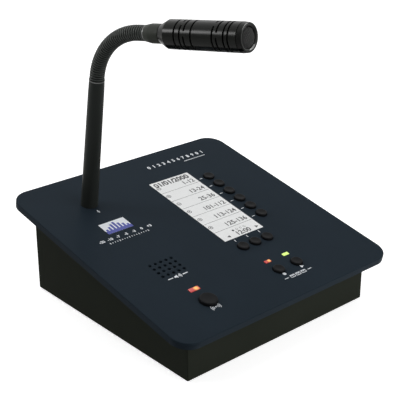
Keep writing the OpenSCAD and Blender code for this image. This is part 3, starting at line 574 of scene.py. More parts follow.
class Marks:
    """Thin shapes printed on a plane of the panel's frame, x across it and s up its slope."""

    def __init__(self, height, level=0.0):
        self.bm = bmesh.new()
        self.height = height
        self.level = level

    def place(self, x, s, turn=0.0):
        return Matrix.Translation((x, s, self.level + self.height / 2)) @ Matrix.Rotation(turn, 4, "Z")

    def bar(self, x, s, width, depth, turn=0.0):
        add_box(self.bm, self.place(x, s, turn), width, depth, self.height)

    def disc(self, x, s, radius, sides=24):
        bmesh.ops.create_cone(
            self.bm, cap_ends=True, segments=sides, radius1=radius, radius2=radius, depth=self.height,
            matrix=self.place(x, s),
        )

    def ring(self, x, s, radius, width, start=0.0, sweep=math.tau, steps=24):
        """Ring or arc of a given width about a point, from a start angle."""
        full = sweep == math.tau
        low, high = -self.height / 2, self.height / 2
        inner, outer = radius - width / 2, radius + width / 2
        ring = bmesh.new()
        corners = ((inner, 0, low), (outer, 0, low), (outer, 0, high), (inner, 0, high))
        section = ring.faces.new([ring.verts.new(corner) for corner in corners])
        bmesh.ops.spin(
            ring, geom=[section], cent=(0, 0, 0), axis=(0, 0, 1), angle=sweep, steps=steps, use_merge=full
        )
        if full and section.is_valid:
            bmesh.ops.delete(ring, geom=[section], context="FACES_ONLY")
        joined(self.bm, placed(ring, self.place(x, s, start)))

    def polygon(self, points):
        """Flat shape with these corners, in order."""
        face = self.bm.faces.new([self.bm.verts.new((x, s, self.level)) for x, s in points])
        made = bmesh.ops.extrude_face_region(self.bm, geom=[face])
        top = [v for v in made["geom"] if isinstance(v, bmesh.types.BMVert)]
        bmesh.ops.translate(self.bm, vec=(0, 0, self.height), verts=top)

    def arrow(self, x, s, reach, side=1):
        """Triangle that points to the right, or to the left with a side of -1."""
        corners = [(x - side * reach, s - reach), (x + side * reach, s), (x - side * reach, s + reach)]
        self.polygon(corners[::side])

    def digits(self, text, x, s, size, align="CENTER", weight=0.0):
        """Plain numbers, made a mesh before they are placed."""
        curve = bpy.data.curves.new("digits", "FONT")
        curve.body = text
        curve.size = size
        curve.align_x = align
        curve.align_y = "CENTER"
        curve.offset = weight
        curve.extrude = self.height / 2
        curve.resolution_u = 3
        holder = bpy.data.objects.new("digits", curve)
        bpy.context.scene.collection.objects.link(holder)
        bpy.context.view_layer.update()
        shaped = holder.evaluated_get(bpy.context.evaluated_depsgraph_get())
        mesh = bpy.data.meshes.new_from_object(shaped)
        mesh.transform(self.place(x, s))
        self.bm.from_mesh(mesh)
        bpy.data.objects.remove(holder)
        bpy.data.curves.remove(curve)
        bpy.data.meshes.remove(mesh)

    def add_as(self, name, finish):
        """Makes the marks one piece on the console."""
        bmesh.ops.recalc_face_normals(self.bm, faces=self.bm.faces[:])
        add_piece(name, placed(self.bm, PANEL), finish, body=ROOT)


# Pieces of the console, an operator for each group

class CONSOLE_OT_finishes(bpy.types.Operator):
    """Make the finishes and give every solid its own"""

    bl_idname = "console.finishes"
    bl_label = "Finishes"

    def execute(self, context):
        make_finishes()
        for node, piece in NODES.items():
            piece.data.materials.clear()
            piece.data.materials.append(FINISHES[SLOT_OF[node]])
        return {"FINISHED"}


class CONSOLE_OT_housing(bpy.types.Operator):
    """Round the cut edges of the panel, base, plate and socket"""

    bl_idname = "console.housing"
    bl_label = "Housing"

    def execute(self, context):
        size = sizes()
        for node, width in (
            ("top_panel", size.panel_edge),
            ("base_housing", size.base_edge),
            ("bottom_plate", size.panel_edge),
            ("network_socket", size.panel_edge),
        ):
            bm = soften(copy_of(node), width)
            add_piece(node + "_finished", bm, SLOT_OF[node], node=node)
        return {"FINISHED"}


class CONSOLE_OT_keys(bpy.types.Operator):
    """Turn a dished key for every button"""

    bl_idname = "console.keys"
    bl_label = "Keys"

    # Points of the dish: share of the rim's radius and share of the dish's depth
    DISH = ((0.86, 0.15), (0.6, 0.6), (0.3, 0.92), (0, 1))

    def execute(self, context):
        for node in sorted(n for n in NODES if "_button" in n):
            low, high = span(node, PANEL)
            centre = PANEL @ Matrix.Translation((*middle_of(node), 0))
            radius = (high.x - low.x) / 2 - sizes().key_flange
            bm = placed(spun(self.profile(radius, low.z, high.z), 48), centre)
            smooth_shading(bm)
            add_piece(node + "_cap", bm, "key_plastic", node=node)
        return {"FINISHED"}

    def profile(self, radius, tip, top):
        """Plunger, hidden flange, round edge and dished top, from the tip upwards."""
        size = sizes()
        edge = size.key_edge
        flange_low, flange_high = -3.0 * MM, -2.2 * MM
        flange_r, plunger_r, rim = radius + size.key_flange, 1.4 * MM, radius - edge
        return [
            (0, tip), (plunger_r, tip), (plunger_r, flange_low),
            (flange_r, flange_low), (flange_r, flange_high), (radius, flange_high),
            *arc(rim, top - edge, edge, 0, 90, 6),
            *[(rim * out, top - size.key_dish * deep) for out, deep in self.DISH],
        ]


class CONSOLE_OT_lamps(bpy.types.Operator):
    """Round the lamps and light them"""

    bl_idname = "console.lamps"
    bl_label = "Lamps"

    def execute(self, context):
        for node, finish in LAMP_FINISH.items():
            bm = soften(copy_of(node), sizes().lamp_edge, segments=3)
            add_piece(node + "_lens", bm, finish, node=node)
        return {"FINISHED"}


class CONSOLE_OT_panel_marks(bpy.types.Operator):
    """Print the white marks and the level badge on the panel"""

    bl_idname = "console.panel_marks"
    bl_label = "Panel marks"

    def execute(self, context):
        marks = Marks(sizes().print_height)
        self.key_dashes(marks)
        self.message_signs(marks)
        self.left_column_signs(marks)
        self.rear_rule(marks)
        marks.add_as("panel_marks", "print_white")
        badge_x, _ = middle_of("speaker_gauze")
        self.badge(badge_x)
        self.level_scale(badge_x)
        return {"FINISHED"}

    def key_dashes(self, marks):
        """Dashes that lead from the screen to its keys."""
        line, screen_gap = 0.55 * MM, 3.7 * MM
        zone_dash, zone_rise = 2.6 * MM, 0.6 * MM
        page_dash, page_rise = 2.4 * MM, 8.6 * MM
        _, screen = span("screen_window", PANEL)
        for i in range(1, 7):
            _, key_s = middle_of(f"zone_button_{i}")
            marks.bar(screen.x + screen_gap, key_s + zone_rise, zone_dash, line)
        for i in range(1, 4):
            key_x, key_s = middle_of(f"page_button_{i}")
            marks.bar(key_x, key_s + page_rise, line, page_dash)

    def message_signs(self, marks):
        """Record and play signs, and below them three envelopes between two rules."""
        record_x, key_s = middle_of("record_button")
        play_x, _ = middle_of("play_button")
        sign_s, group_s = key_s - 5.6 * MM, key_s - 10.4 * MM
        dot_r, arrow_reach = 1.4 * MM, 1.5 * MM
        marks.disc(record_x, sign_s, dot_r)
        marks.arrow(play_x, sign_s, arrow_reach)
        group_x = (record_x + play_x) / 2
        rule_x, rule, rule_line = 11.4 * MM, 3.6 * MM, 0.6 * MM
        for side in (-1, 1):
            marks.bar(group_x + side * rule_x, group_s, rule, rule_line)
        pitch, width, depth, line = 5.4 * MM, 4.4 * MM, 2.9 * MM, 0.5 * MM
        for step in (-1, 0, 1):
            self.envelope(marks, group_x + step * pitch, group_s, width, depth, line)

    def envelope(self, marks, x, s, width, depth, line):
        """Outline with the two edges of a flap."""
        fold = math.atan2(depth / 2, width / 2)
        length = math.hypot(width / 2, depth / 2)
        for side in (-1, 1):
            marks.bar(x + side * (width - line) / 2, s, line, depth)
            marks.bar(x, s + side * (depth - line) / 2, width, line)
            marks.bar(x + side * width / 4, s + depth / 4, length, line, side * fold)

    def left_column_signs(self, marks):
        for draw, node, below in (
            (self.speech, "talk_button", 7.6 * MM),
            (self.loudspeaker, "speaker_gauze", 11.7 * MM),
            (self.microphone, "stem_washer", 11.2 * MM),
        ):
            x, s = middle_of(node)
            draw(marks, x, s - below)

    def speech(self, marks, x, s):
        """Three sound arcs on each side of a dot."""
        dot_r, line, half_sweep = 0.55 * MM, 0.45 * MM, 0.6
        marks.disc(x, s, dot_r, 16)
        for reach in (1.5 * MM, 2.6 * MM, 3.7 * MM):
            for middle in (0, math.pi):
                marks.ring(x, s, reach, line, middle - half_sweep, 2 * half_sweep, 10)

    def loudspeaker(self, marks, x, s):
        """Box and cone with sound arcs, between two rules."""
        box_x, neck_x, mouth_x = x - 2.4 * MM, x - 1.7 * MM, x - 0.3 * MM
        box, neck, mouth = 1.4 * MM, 0.8 * MM, 1.7 * MM
        marks.bar(box_x, s, box, 2 * neck)
        marks.polygon([(neck_x, s - neck), (mouth_x, s - mouth), (mouth_x, s + mouth), (neck_x, s + neck)])
        line, half_sweep = 0.5 * MM, 0.75
        for reach in (1.0 * MM, 1.9 * MM, 2.8 * MM):
            marks.ring(x, s, reach, line, -half_sweep, 2 * half_sweep, 10)
        rule_x, rule, rule_line = 6.4 * MM, 4.4 * MM, 0.8 * MM
        for side in (-1, 1):
            marks.bar(x + side * rule_x, s, rule, rule_line)

    def microphone(self, marks, x, s):
        """Capsule in a cradle on a foot."""
        line, capsule_r = 0.3 * MM, 0.45 * MM
        capsule_low, capsule_high = s + 0.1 * MM, s + 1.3 * MM
        marks.bar(x, (capsule_low + capsule_high) / 2, 2 * capsule_r, capsule_high - capsule_low)
        marks.disc(x, capsule_high, capsule_r, 16)
        marks.disc(x, capsule_low, capsule_r, 16)
        cradle_s, cradle_r = s + 0.2 * MM, 1.0 * MM
        marks.ring(x, cradle_s, cradle_r, line, math.pi, math.pi, 14)
        post_s, post, foot_s, foot = s - 1.05 * MM, 0.6 * MM, s - 1.4 * MM, 1.4 * MM
        marks.bar(x, post_s, line, post)
        marks.bar(x, foot_s, foot, line)

    def rear_rule(self, marks):
        """Plain numbers over a short rule, at the rear of the panel."""
        _, screen = span("screen_window", PANEL)
        first_x, number_s, pitch, count = 17.2 * MM, screen.y + 19.6 * MM, 5.0 * MM, 12
        number, weight = 4.8 * MM, 0.18 * MM
        for i in range(count):
            marks.digits(str(i % 10), first_x + i * pitch, number_s, number, weight=weight)
        rule_x, rule_s, rule, rule_line = 60.5 * MM, number_s - 4.9 * MM, 22 * MM, 0.55 * MM
        marks.bar(rule_x, rule_s, rule, rule_line)

    def badge(self, x):
        """Blue sound level bars on a white field."""
        height = sizes().print_height
        field_s, width, depth, band = 130 * MM, 22 * MM, 13 * MM, 3.4 * MM
        foot = field_s - depth / 2
        field = Marks(height)
        field.bar(x, field_s, width, depth)
        field.add_as("badge_field", "print_white")
        bars = Marks(height, level=height)
        bars.bar(x, foot + band / 2, width, band)
        pitch, bar, headroom = 3 * MM, 1.9 * MM, 1.5 * MM
        for i, share in enumerate((0.25, 0.5, 0.8, 1.0, 0.7, 0.45, 0.2), -3):
            tall = (depth - band - headroom) * share
            bars.bar(x + i * pitch, foot + band + tall / 2, bar, tall)
        bars.add_as("badge_bars", "badge_blue")

    def level_scale(self, x):
        """Plain level numbers over a row of ticks."""
        scale = Marks(sizes().print_height)
        number_s, number_pitch, number, weight = 118 * MM, 7 * MM, 3.6 * MM, 0.12 * MM
        for i, level in enumerate(("-20", "-10", "-7", "-5", "-3", "0", "+3"), -3):
            scale.digits(level, x + i * number_pitch, number_s, number, weight=weight)
        tick_s, tick_pitch, line, tick, long_tick = 113.8 * MM, 2.1 * MM, 0.55 * MM, 1.0 * MM, 1.7 * MM
        for i in range(-8, 9):
            scale.bar(x + i * tick_pitch, tick_s, line, tick if i % 4 else long_tick)
        scale.add_as("badge_scale", "print_white")


class CONSOLE_OT_display(bpy.types.Operator):
    """Draw the display's page under the window"""

    bl_idname = "console.display"
    bl_label = "Display"

    ZONES = ("1-12", "13-24", "25-36", "101-112", "113-124", "125-136")

    def execute(self, context):
        low, high = span("screen_window", PANEL)
        ink = sizes().print_height / 2
        marks = Marks(ink, low.z - ink / 2)
        middle, date_s, date, weight = (low.x + high.x) / 2, high.y - 4.1 * MM, 7.4 * MM, 0.3 * MM
        marks.digits("01/01/2000", middle, date_s, date, weight=weight)
        line_below_key = 1.6 * MM
        for i, zones in enumerate(self.ZONES, 1):
            _, key_s = middle_of(f"zone_button_{i}")
            self.row(marks, low.x, high.x, key_s - line_below_key, zones)
        self.footer(marks, low.x, high.y)
        marks.add_as("display_page", "print_dark")
        return {"FINISHED"}

    def row(self, marks, left, right, line_s, zones):
        """Zone sign and numbers over a line."""
        margin, line = 0.3 * MM, 0.32 * MM
        marks.bar((left + right) / 2, line_s, right - left - 2 * margin, line)
        number_x, number_s, number, weight = right - 1.8 * MM, line_s + 4.2 * MM, 6.4 * MM, 0.14 * MM
        marks.digits(zones, number_x, number_s, number, "RIGHT", weight)
        sign_x, sign_s, sign_r, sign_line = left + 3.1 * MM, line_s + 6.9 * MM, 1.6 * MM, 0.5 * MM
        marks.ring(sign_x, sign_s, sign_r, sign_line)
        marks.bar(sign_x, sign_s, 1.3 * MM, 1.0 * MM)

    def footer(self, marks, left, top):
        """Dots for the pages, and a plain time between two arrows."""
        dots_s, dots_x, pitch = top - 79.8 * MM, left + 15.2 * MM, 3.7 * MM
        dot_r, ring_r, line = 1.0 * MM, 0.85 * MM, 0.3 * MM
        marks.disc(dots_x, dots_s, dot_r)
        for i in range(1, 4):
            marks.ring(dots_x + i * pitch, dots_s, ring_r, line)
        clock_x, clock_s, number, weight = left + 21.4 * MM, top - 84.4 * MM, 6.4 * MM, 0.18 * MM
        marks.digits("12:00", clock_x, clock_s, number, weight=weight)
        arrow_reach = 1.5 * MM
        for arrow_x, side in ((6.9 * MM, -1), (35.0 * MM, 1)):
            marks.arrow(left + arrow_x, clock_s, arrow_reach, side)


class CONSOLE_OT_stem(bpy.types.Operator):
    """Turn the stem and the spigot that holds it in the panel"""

    bl_idname = "console.stem"
    bl_label = "Stem"

    def execute(self, context):
        _, top = span("mic_stem", ARM)
        low, _ = span("mic_stem", PANEL)
        bm = self.tube(top.z)
        bore, spigot_r = 2.6 * MM, 5 * MM
        profile = [(bore, low.z), (spigot_r, low.z), (spigot_r, 0), (bore, 0)]
        centre = PANEL.inverted() @ ARM.translation
        place = PANEL @ Matrix.Translation((centre.x, centre.y, 0))
        joined(bm, placed(spun(profile, 48, closed=True), place))
        smooth_shading(bm)
        add_piece("stem_tube", bm, "stem_paint", node="mic_stem")
        return {"FINISHED"}

    def tube(self, top):
        """Leaning tapered tube, cut level with the panel."""
        bore, socket_r = 2.2 * MM, 4.2 * MM
        foot_r, shaft_r, tip_r = 6.35 * MM, 5.6 * MM, 5.4 * MM
        foot, shaft_end, socket_end = -1 * MM, top - 7.5 * MM, top - 8.3 * MM
        edge = 0.2 * MM
        profile = [
            (bore, foot), (foot_r, foot), (shaft_r, shaft_end), (tip_r, top - edge), (tip_r - edge, top),
            (socket_r, top), (socket_r, socket_end), (bore, socket_end),
        ]
        bm = placed(spun(profile, 64, closed=True), ARM)
        cut = bmesh.ops.bisect_plane(
            bm, geom=bm.verts[:] + bm.edges[:] + bm.faces[:], dist=1e-7, plane_co=PANEL.translation,
            plane_no=PANEL_UP, clear_inner=True,
        )
        bmesh.ops.bridge_loops(bm, edges=[e for e in cut["geom_cut"] if isinstance(e, bmesh.types.BMEdge)])
        bmesh.ops.recalc_face_normals(bm, faces=bm.faces[:])
        return bm


class CONSOLE_OT_neck(bpy.types.Operator):
    """Bend a ribbed tube along the neck's line, in a lower and an upper half"""

    bl_idname = "console.neck"
    bl_label = "Neck"

    # Rings of points along the bore and the cable in each half
    STEPS_ALONG = 16

    def execute(self, context):
        low, _ = span("gooseneck", ARM)
        _, top = span("gooseneck", HEAD)
        first, last = low.z, NECK.end + top.z
        ring_gap = 0.3 * MM
        self.rib_first = span("stem_ring", ARM)[1].z + ring_gap
        self.rib_last = NECK.end + span("neck_ring", HEAD)[0].z - ring_gap
        count = round((self.rib_last - self.rib_first) / sizes().rib_pitch)
        self.step = (self.rib_last - self.rib_first) / count
        split = self.rib_first + self.step * self.rib_at((NECK.start + NECK.end) / 2)
        for name, start, stop, bodies, bend in (
            ("lower", first, split, (ROOT, "neck"), (NECK.start, split)),
            ("upper", split, last, ("neck", "mic"), (split, NECK.end)),
        ):
            ribs, cable = self.ribbed(start, stop), self.plain(start, stop)
            self.half("neck_ribs_" + name, ribs, "neck_coating", "gooseneck", bodies, bend, closed=True)
            self.half("neck_wire_" + name, cable, "rubber", "neck_cable", bodies, bend)
        return {"FINISHED"}

    def rib_at(self, distance):
        """Number of ribs below a distance, to the nearest whole one."""
        return round((distance - self.rib_first) / self.step)

    def half(self, name, profile, finish, node, bodies, bend, closed=False):
        """Turns a profile about a straight line, and then bends that line."""
        bm = spun(profile, 40, closed)
        size = sizes()
        # Share of the rib's height, which sets the painted shade in the neck's grooves and the paler crests.
        rib = bm.verts.layers.float.new("rib")
        for vert in bm.verts:
            depth = vert.co.xy.length - size.rib_groove
            vert[rib] = max(0.0, depth / (size.rib_crest - size.rib_groove))
            vert.co = NECK.point(vert.co.z, vert.co.x, vert.co.y)
        bmesh.ops.recalc_face_normals(bm, faces=bm.faces[:])
        smooth_shading(bm, math.radians(60))
        piece = add_piece(name, bm, finish, node=node, rides=False)
        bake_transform(piece)

    def ribbed(self, start, stop):
        """Profile up the ribs, between plain tails at the neck's ends, and back down the bore."""
        size = sizes()
        outer = []
        if start < self.rib_first:
            outer += [(size.neck_tail, start), (size.neck_tail, self.rib_first)]
        ribs_stop = min(stop, self.rib_last)
        for rib in range(self.rib_at(max(start, self.rib_first)), self.rib_at(ribs_stop)):
            for ring in range(size.rib_rings):
                turn = math.pi * ring / size.rib_rings
                share = (1 - math.cos(turn)) / 2
                radius = size.rib_groove + (size.rib_crest - size.rib_groove) * math.sin(turn)
                outer.append((radius, self.rib_first + (rib + share) * self.step))
        outer.append((size.rib_groove, ribs_stop))
        if stop > self.rib_last:
            outer += [(size.neck_tail, self.rib_last), (size.neck_tail, stop)]
        return outer + [(size.neck_bore, distance) for distance in evenly(stop, start, self.STEPS_ALONG)]

    def plain(self, start, stop):
        """Profile of the cable in the neck's bore."""
        radius = 1.5 * MM
        side = [(radius, distance) for distance in evenly(start, stop, self.STEPS_ALONG)]
        return [(0, start)] + side + [(0, stop)]


class CONSOLE_OT_head(bpy.types.Operator):
    """Turn the microphone head, cut its slots and weave its grille"""

    bl_idname = "console.head"
    bl_label = "Microphone head"

    CRISP = math.radians(8)
    # Rows of slots: distance from the taper in mm, and angle of the bridges between its slots
    SLOT_ROWS = (
        (9, 69), (13.4, 114), (16.6, 159), (22.1, 69), (38.4, 114), (41.7, 159), (46.9, 69), (50.1, 69),
    )
    SLOT_HALF = 0.55 * MM
    BRIDGE_HALF_ANGLE = 10

    def execute(self, context):
        self.collar()
        self.body()
        self.front_ring()
        self.grille()
        return {"FINISHED"}

    def collar(self):
        """Cone and band with a groove, over a spigot that holds the body."""
        low, high = span("mic_collar", HEAD)
        start, wide = low.z, high.x
        ramp_end, lip_end, socket_end = start + 4.3 * MM, start + 12.6 * MM, start + 8.3 * MM
        groove_end = lip_end + 0.5 * MM
        groove_r = wide - 0.4 * MM
        spigot_r = groove_r - 0.9 * MM
        bore, socket_r, start_r = 2.2 * MM, 4.2 * MM, 5.5 * MM
        profile = [
            (socket_r, start), (start_r, start), (wide, ramp_end), (wide, lip_end), (groove_r, lip_end),
            (groove_r, groove_end), (spigot_r, groove_end), (spigot_r, high.z), (bore, high.z),
            (bore, socket_end), (socket_r, socket_end),
        ]
        bm = soften(spun(profile, 64, closed=True), 0.15 * MM, limit=math.radians(25))
        smooth_shading(bm, self.CRISP)
        add_piece("head_collar", placed(bm, HEAD), "collar_rubber", node="mic_collar")

    def body(self):
        """Slotted tube: a turned skin without its slots, thickened inwards."""
        low, high = span("mic_body", HEAD)
        radius, hole_r, start_r = high.x, 5.2 * MM, 6.45 * MM
        taper_end = low.z + 6.4 * MM
        profile = [(hole_r, low.z), (start_r, low.z), (radius, taper_end)]
        for row, _ in self.SLOT_ROWS:
            profile += [(radius, taper_end + row * MM + side * self.SLOT_HALF) for side in (-1, 1)]
        profile.append((radius, high.z))
        bm = spun(profile, 72)
        slots = [face for face in bm.faces if self.in_slot(face, taper_end, radius)]
        bmesh.ops.delete(bm, geom=slots, context="FACES")
        smooth_shading(bm, self.CRISP)
        piece = add_piece("head_body", placed(bm, HEAD), "arm_paint", node="mic_body")
        wall = piece.modifiers.new("Wall", "SOLIDIFY")
        wall.thickness = 1.45 * MM
        wall.offset = -1
        wall.use_even_offset = True
        edge = piece.modifiers.new("Edge", "BEVEL")
        edge.width = 0.16 * MM
        edge.segments = 2
        edge.limit_method = "ANGLE"
        edge.angle_limit = math.radians(40)
        edge.harden_normals = True

    def in_slot(self, face, taper_end, radius):
        """Whether a face of the skin lies in a row of slots and away from the row's bridges."""
        middle = face.calc_center_median()
        on_skin = math.hypot(middle.x, middle.y) > 0.98 * radius
        angle = math.degrees(math.atan2(middle.y, middle.x))
        for row, bridge in self.SLOT_ROWS:
            if on_skin and abs(middle.z - taper_end - row * MM) < self.SLOT_HALF / 2:
                from_bridge = abs((angle - bridge + 90) % 180 - 90)
                return from_bridge > self.BRIDGE_HALF_ANGLE
        return False

    def front_ring(self):
        """Thin bezel: a round outer edge that rolls over its crest into the grille's recess."""
        low, high = span("mic_front_ring", HEAD)
        radius, inner = high.x, 6.6 * MM
        front_r, crest, spigot_r = radius - 0.3 * MM, radius - 0.9 * MM, radius - 1.6 * MM
        spigot_end, seam = low.z + 1.1 * MM, 0.4 * MM
        edge_depth, lip_depth = 1.0 * MM, 1.6 * MM
        turns = [math.radians(turn) for turn in evenly(0, 90, 10)]
        outer = [
            (crest + (front_r - crest) * math.cos(turn), high.z - edge_depth * (1 - math.sin(turn)))
            for turn in turns
        ]
        rolled = [
            (crest - (crest - inner) * math.sin(turn), high.z - lip_depth * (1 - math.cos(turn)))
            for turn in turns[1:]
        ]
        profile = [
            (inner, low.z), (spigot_r, low.z), (spigot_r, spigot_end), (radius - seam, spigot_end),
            (radius, spigot_end + seam), *outer, *rolled,
        ]
        bm = spun(profile, 72, closed=True)
        smooth_shading(bm)
        piece = add_piece("head_front_ring", placed(bm, HEAD), "bezel_paint", node="mic_front_ring")
        bpy.data.collections[GLINT].objects.link(piece)

    def grille(self):
        """Wire cloth over dark foam: a domed grid bent at every crossing, thickened into wires."""
        NODES["mic_grille"].data.materials[0] = FINISHES["cloth"]
        size = sizes()
        _, high = span("mic_grille", HEAD)
        radius = high.x
        count = round(2 * radius / size.wire_pitch)
        pitch = 2 * radius / count
        weave = 0.1 * MM
        bm = bmesh.new()
        bmesh.ops.create_grid(bm, x_segments=count, y_segments=count, size=radius)
        for vert in bm.verts:
            column, line = round(vert.co.x / pitch), round(vert.co.y / pitch)
            dome = size.grille_dome * (1 - (vert.co.xy.length / radius) ** 5)
            vert.co.z = dome + (weave if (column + line) % 2 else -weave)
        outside = [f for f in bm.faces if f.calc_center_median().xy.length > radius - pitch / 2]
        bmesh.ops.delete(bm, geom=outside, context="FACES")
        bmesh.ops.wireframe(
            bm, faces=bm.faces[:], thickness=size.wire_width, offset=0.0, use_replace=True,
            use_boundary=True, use_even_offset=False,
        )
        for face in bm.faces:
            face.smooth = True
        turn = Matrix.Rotation(math.radians(20), 4, "Z")
        place = HEAD @ Matrix.Translation((0, 0, high.z + size.wire_width)) @ turn
        add_piece("head_wire_cloth", placed(bm, place), "mesh", body="mic")


class CONSOLE_OT_socket(bpy.types.Operator):
    """Put the contacts and signal windows in the network socket"""

    bl_idname = "console.socket"
    bl_label = "Network socket"

    def execute(self, context):
        low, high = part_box("network_socket")
        self.contacts(high.y - 8 * MM, low.z + 9.2 * MM)
        signal_x, signal_z = 5.9 * MM, high.z - 1.5 * MM
        width, depth, height, edge = 2.6 * MM, 0.3 * MM, 1.5 * MM, 0.1 * MM
        for name, side, finish in (("left", -1, "green_lamp"), ("right", 1, "record_lamp")):
            bm = bmesh.new()
            place = Matrix.Translation((side * signal_x, high.y, signal_z))
            add_box(bm, place, width, depth, height)
            soften(bm, edge)
            add_piece("socket_signal_" + name, bm, finish, body=ROOT)
        return {"FINISHED"}

    def contacts(self, y, z):
        """Row of slanted springs, about the middle of the console."""
        count, pitch, slant = 8, 1.02 * MM, Matrix.Rotation(-0.42, 4, "X")
        width, length, thickness, edge = 0.45 * MM, 9 * MM, 0.3 * MM, 0.08 * MM
        bm = bmesh.new()
        for i in range(count):
            place = Matrix.Translation(((i - (count - 1) / 2) * pitch, y, z))
            add_box(bm, place @ slant, width, length, thickness)
        soften(bm, edge)
        add_piece("socket_contacts", bm, "gold", body=ROOT)


class CONSOLE_OT_feet(bpy.types.Operator):
    """Turn the rubber feet with a rounded, ringed sole"""

    bl_idname = "console.feet"
    bl_label = "Feet"

    def execute(self, context):
        low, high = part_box("rubber_feet")
        radius = 6.5 * MM
        bm = bmesh.new()
        for x in (low.x + radius, high.x - radius):
            for y in (low.y + radius, high.y - radius):
                foot = spun(self.profile(radius, high.z), 40)
                joined(bm, placed(foot, Matrix.Translation((x, y, 0))))
        smooth_shading(bm)
        add_piece("foot_pads", bm, "rubber", node="rubber_feet")
        return {"FINISHED"}

    def profile(self, radius, height):
        """Hollow in the sole, round edge, flared side and small rounding at the top."""
        hollow, round_r, flare, edge = 0.25 * MM, 0.5 * MM, 0.4 * MM, 0.2 * MM
        return [
            (0, hollow), (radius * 0.45, hollow), (radius * 0.5, 0),
            *arc(radius - flare - round_r, round_r, round_r, -90, 0, 5),
            (radius, height - edge), (radius - edge, height), (0, height),
        ]


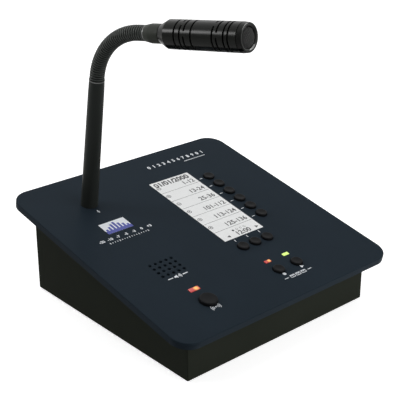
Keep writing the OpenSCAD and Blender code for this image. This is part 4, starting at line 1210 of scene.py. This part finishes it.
class CONSOLE_OT_stage(bpy.types.Operator):
    """Set the floor, the lamps, the background and the camera"""

    bl_idname = "console.stage"
    bl_label = "Stage"

    def execute(self, context):
        self.floor()
        self.background()
        self.lamp("Overhead lamp", (-0.05, 0.42, 0.72), (0, 0, 0.06), size=1.25, power=3.9)
        self.lamp("Rim lamp", (-0.58, 0.38, 0.5), (-0.03, -0.05, 0.215), size=0.36, power=0.16, spread=24.0)
        self.lamp("Front fill", (0.5, -1.15, 0.24), (0, 0, 0.05), size=1.5, power=13.4)
        glint = self.lamp("Glint lamp", (0.27, -0.33, 0.74), (-0.035, -0.084, 0.219), size=0.7, power=44.0)
        glint.light_linking.receiver_collection = bpy.data.collections.new(GLINT)
        self.camera()
        context.scene.view_settings.view_transform = "Standard"
        return {"FINISHED"}

    def floor(self):
        """White where it is seen, and darker on the left in the light that it throws on the console."""
        half_width, seen_level, seen_glow = 4.0, 0.85, 0.75
        bm = bmesh.new()
        bmesh.ops.create_grid(bm, x_segments=1, y_segments=1, size=half_width)
        mesh = bpy.data.meshes.new("floor")
        bm.to_mesh(mesh)
        bm.free()
        plane = bpy.data.objects.new("floor", mesh)
        bpy.context.scene.collection.objects.link(plane)
        tree, shader = new_material("floor")
        seen = self.seen_mask(tree)
        place, rightwards = object_place(tree), (1, 0, 0)
        thrown = self.along(tree, place, rightwards, start=-0.16, stop=-0.04, low=0.05, high=0.8)
        set_inputs(shader, {
            "Base Color": self.either(tree, seen, seen_level, thrown),
            "Roughness": 0.9,
            "Specular IOR Level": 0.0,
            "Emission Color": WHITE,
            "Emission Strength": combined(tree, "MULTIPLY", seen, seen_glow),
        })
        mesh.materials.append(FINISHES["floor"])

    def background(self):
        """White where it is seen, and dimmer, most at the front left, in the light that it throws."""
        world = bpy.data.worlds.new("studio")
        bpy.context.scene.world = world
        world.use_nodes = True
        tree = world.node_tree
        place = tree.nodes.new("ShaderNodeTexCoord").outputs["Generated"]
        up_behind_right = (0.55, 0.65, 0.52)
        thrown = self.along(tree, place, up_behind_right, start=0.1, stop=0.9, low=0.2, high=0.36)
        strength = self.either(tree, self.seen_mask(tree), 1.0, thrown)
        set_inputs(tree.nodes["Background"], {"Color": WHITE, "Strength": strength})

    def along(self, tree, vector, direction, start, stop, low, high):
        """Level that rises from low to high along a direction."""
        reach = add_node(tree, "ShaderNodeVectorMath", {0: vector, 1: direction}, operation="DOT_PRODUCT")
        level = add_node(tree, "ShaderNodeMapRange", {
            "Value": reach.outputs["Value"],
            "From Min": start, "From Max": stop, "To Min": low, "To Max": high,
        })
        return level.outputs["Result"]

    def seen_mask(self, tree):
        """One for rays from the camera, and for those that metal, gloss and glass send on."""
        path = tree.nodes.new("ShaderNodeLightPath").outputs
        mirrored = combined(tree, "MAXIMUM", path["Is Glossy Ray"], path["Is Transmission Ray"])
        return combined(tree, "MAXIMUM", path["Is Camera Ray"], mirrored)

    def either(self, tree, seen, shown, thrown):
        """The shown level for rays that see the stage, and the thrown one for its light."""
        mix = add_node(tree, "ShaderNodeMix", {"Factor": seen, "A": thrown, "B": shown})
        return mix.outputs["Result"]

    def aimed(self, name, data, place, aim):
        """A lamp or camera at a place, turned towards a point."""
        thing = bpy.data.objects.new(name, data)
        bpy.context.scene.collection.objects.link(thing)
        thing.location = place
        thing.rotation_euler = (Vector(aim) - Vector(place)).to_track_quat("-Z", "Y").to_euler()
        return thing

    def lamp(self, name, place, aim, size, power, spread=180.0):
        data = bpy.data.lights.new(name, "AREA")
        data.energy = power
        data.size = size
        data.spread = math.radians(spread)
        return self.aimed(name, data, place, aim)

    def camera(self):
        """Camera of the photograph's view, solved from the panel's corners."""
        data = bpy.data.cameras.new("camera")
        data.sensor_width = 36.0
        data.lens = 91.85
        data.clip_start, data.clip_end = 0.01, 50.0
        place, aim = (-0.44842, -0.50731, 0.37078), (0.0, -0.00008, 0.07731)
        bpy.context.scene.camera = self.aimed("camera", data, place, aim)


class CONSOLE_PT_panel(bpy.types.Panel):
    """Sizes, colours and steps of the console's looks"""

    bl_idname = "CONSOLE_PT_panel"
    bl_label = "Paging console"
    bl_space_type = "VIEW_3D"
    bl_region_type = "UI"
    bl_category = "Console"

    def draw(self, context):
        layout = self.layout
        for group in (context.scene.console_colours, context.scene.console_sizes):
            box = layout.box()
            for name in group.__annotations__:
                box.prop(group, name)
        for step in STEPS:
            layout.operator(step.bl_idname)


STEPS = (
    CONSOLE_OT_finishes,
    CONSOLE_OT_stage,
    CONSOLE_OT_housing,
    CONSOLE_OT_keys,
    CONSOLE_OT_lamps,
    CONSOLE_OT_panel_marks,
    CONSOLE_OT_display,
    CONSOLE_OT_stem,
    CONSOLE_OT_neck,
    CONSOLE_OT_head,
    CONSOLE_OT_socket,
    CONSOLE_OT_feet,
)
CLASSES = (ConsoleColours, ConsoleSizes, *STEPS, CONSOLE_PT_panel)


def register():
    for cls in CLASSES:
        bpy.utils.register_class(cls)
    bpy.types.Scene.console_colours = PointerProperty(type=ConsoleColours)
    bpy.types.Scene.console_sizes = PointerProperty(type=ConsoleSizes)


def unregister():
    del bpy.types.Scene.console_sizes
    del bpy.types.Scene.console_colours
    for cls in reversed(CLASSES):
        bpy.utils.unregister_class(cls)


def main():
    register()
    for step in STEPS:
        area, name = step.bl_idname.split(".")
        getattr(getattr(bpy.ops, area), name)()


if __name__ == "__main__":
    main()
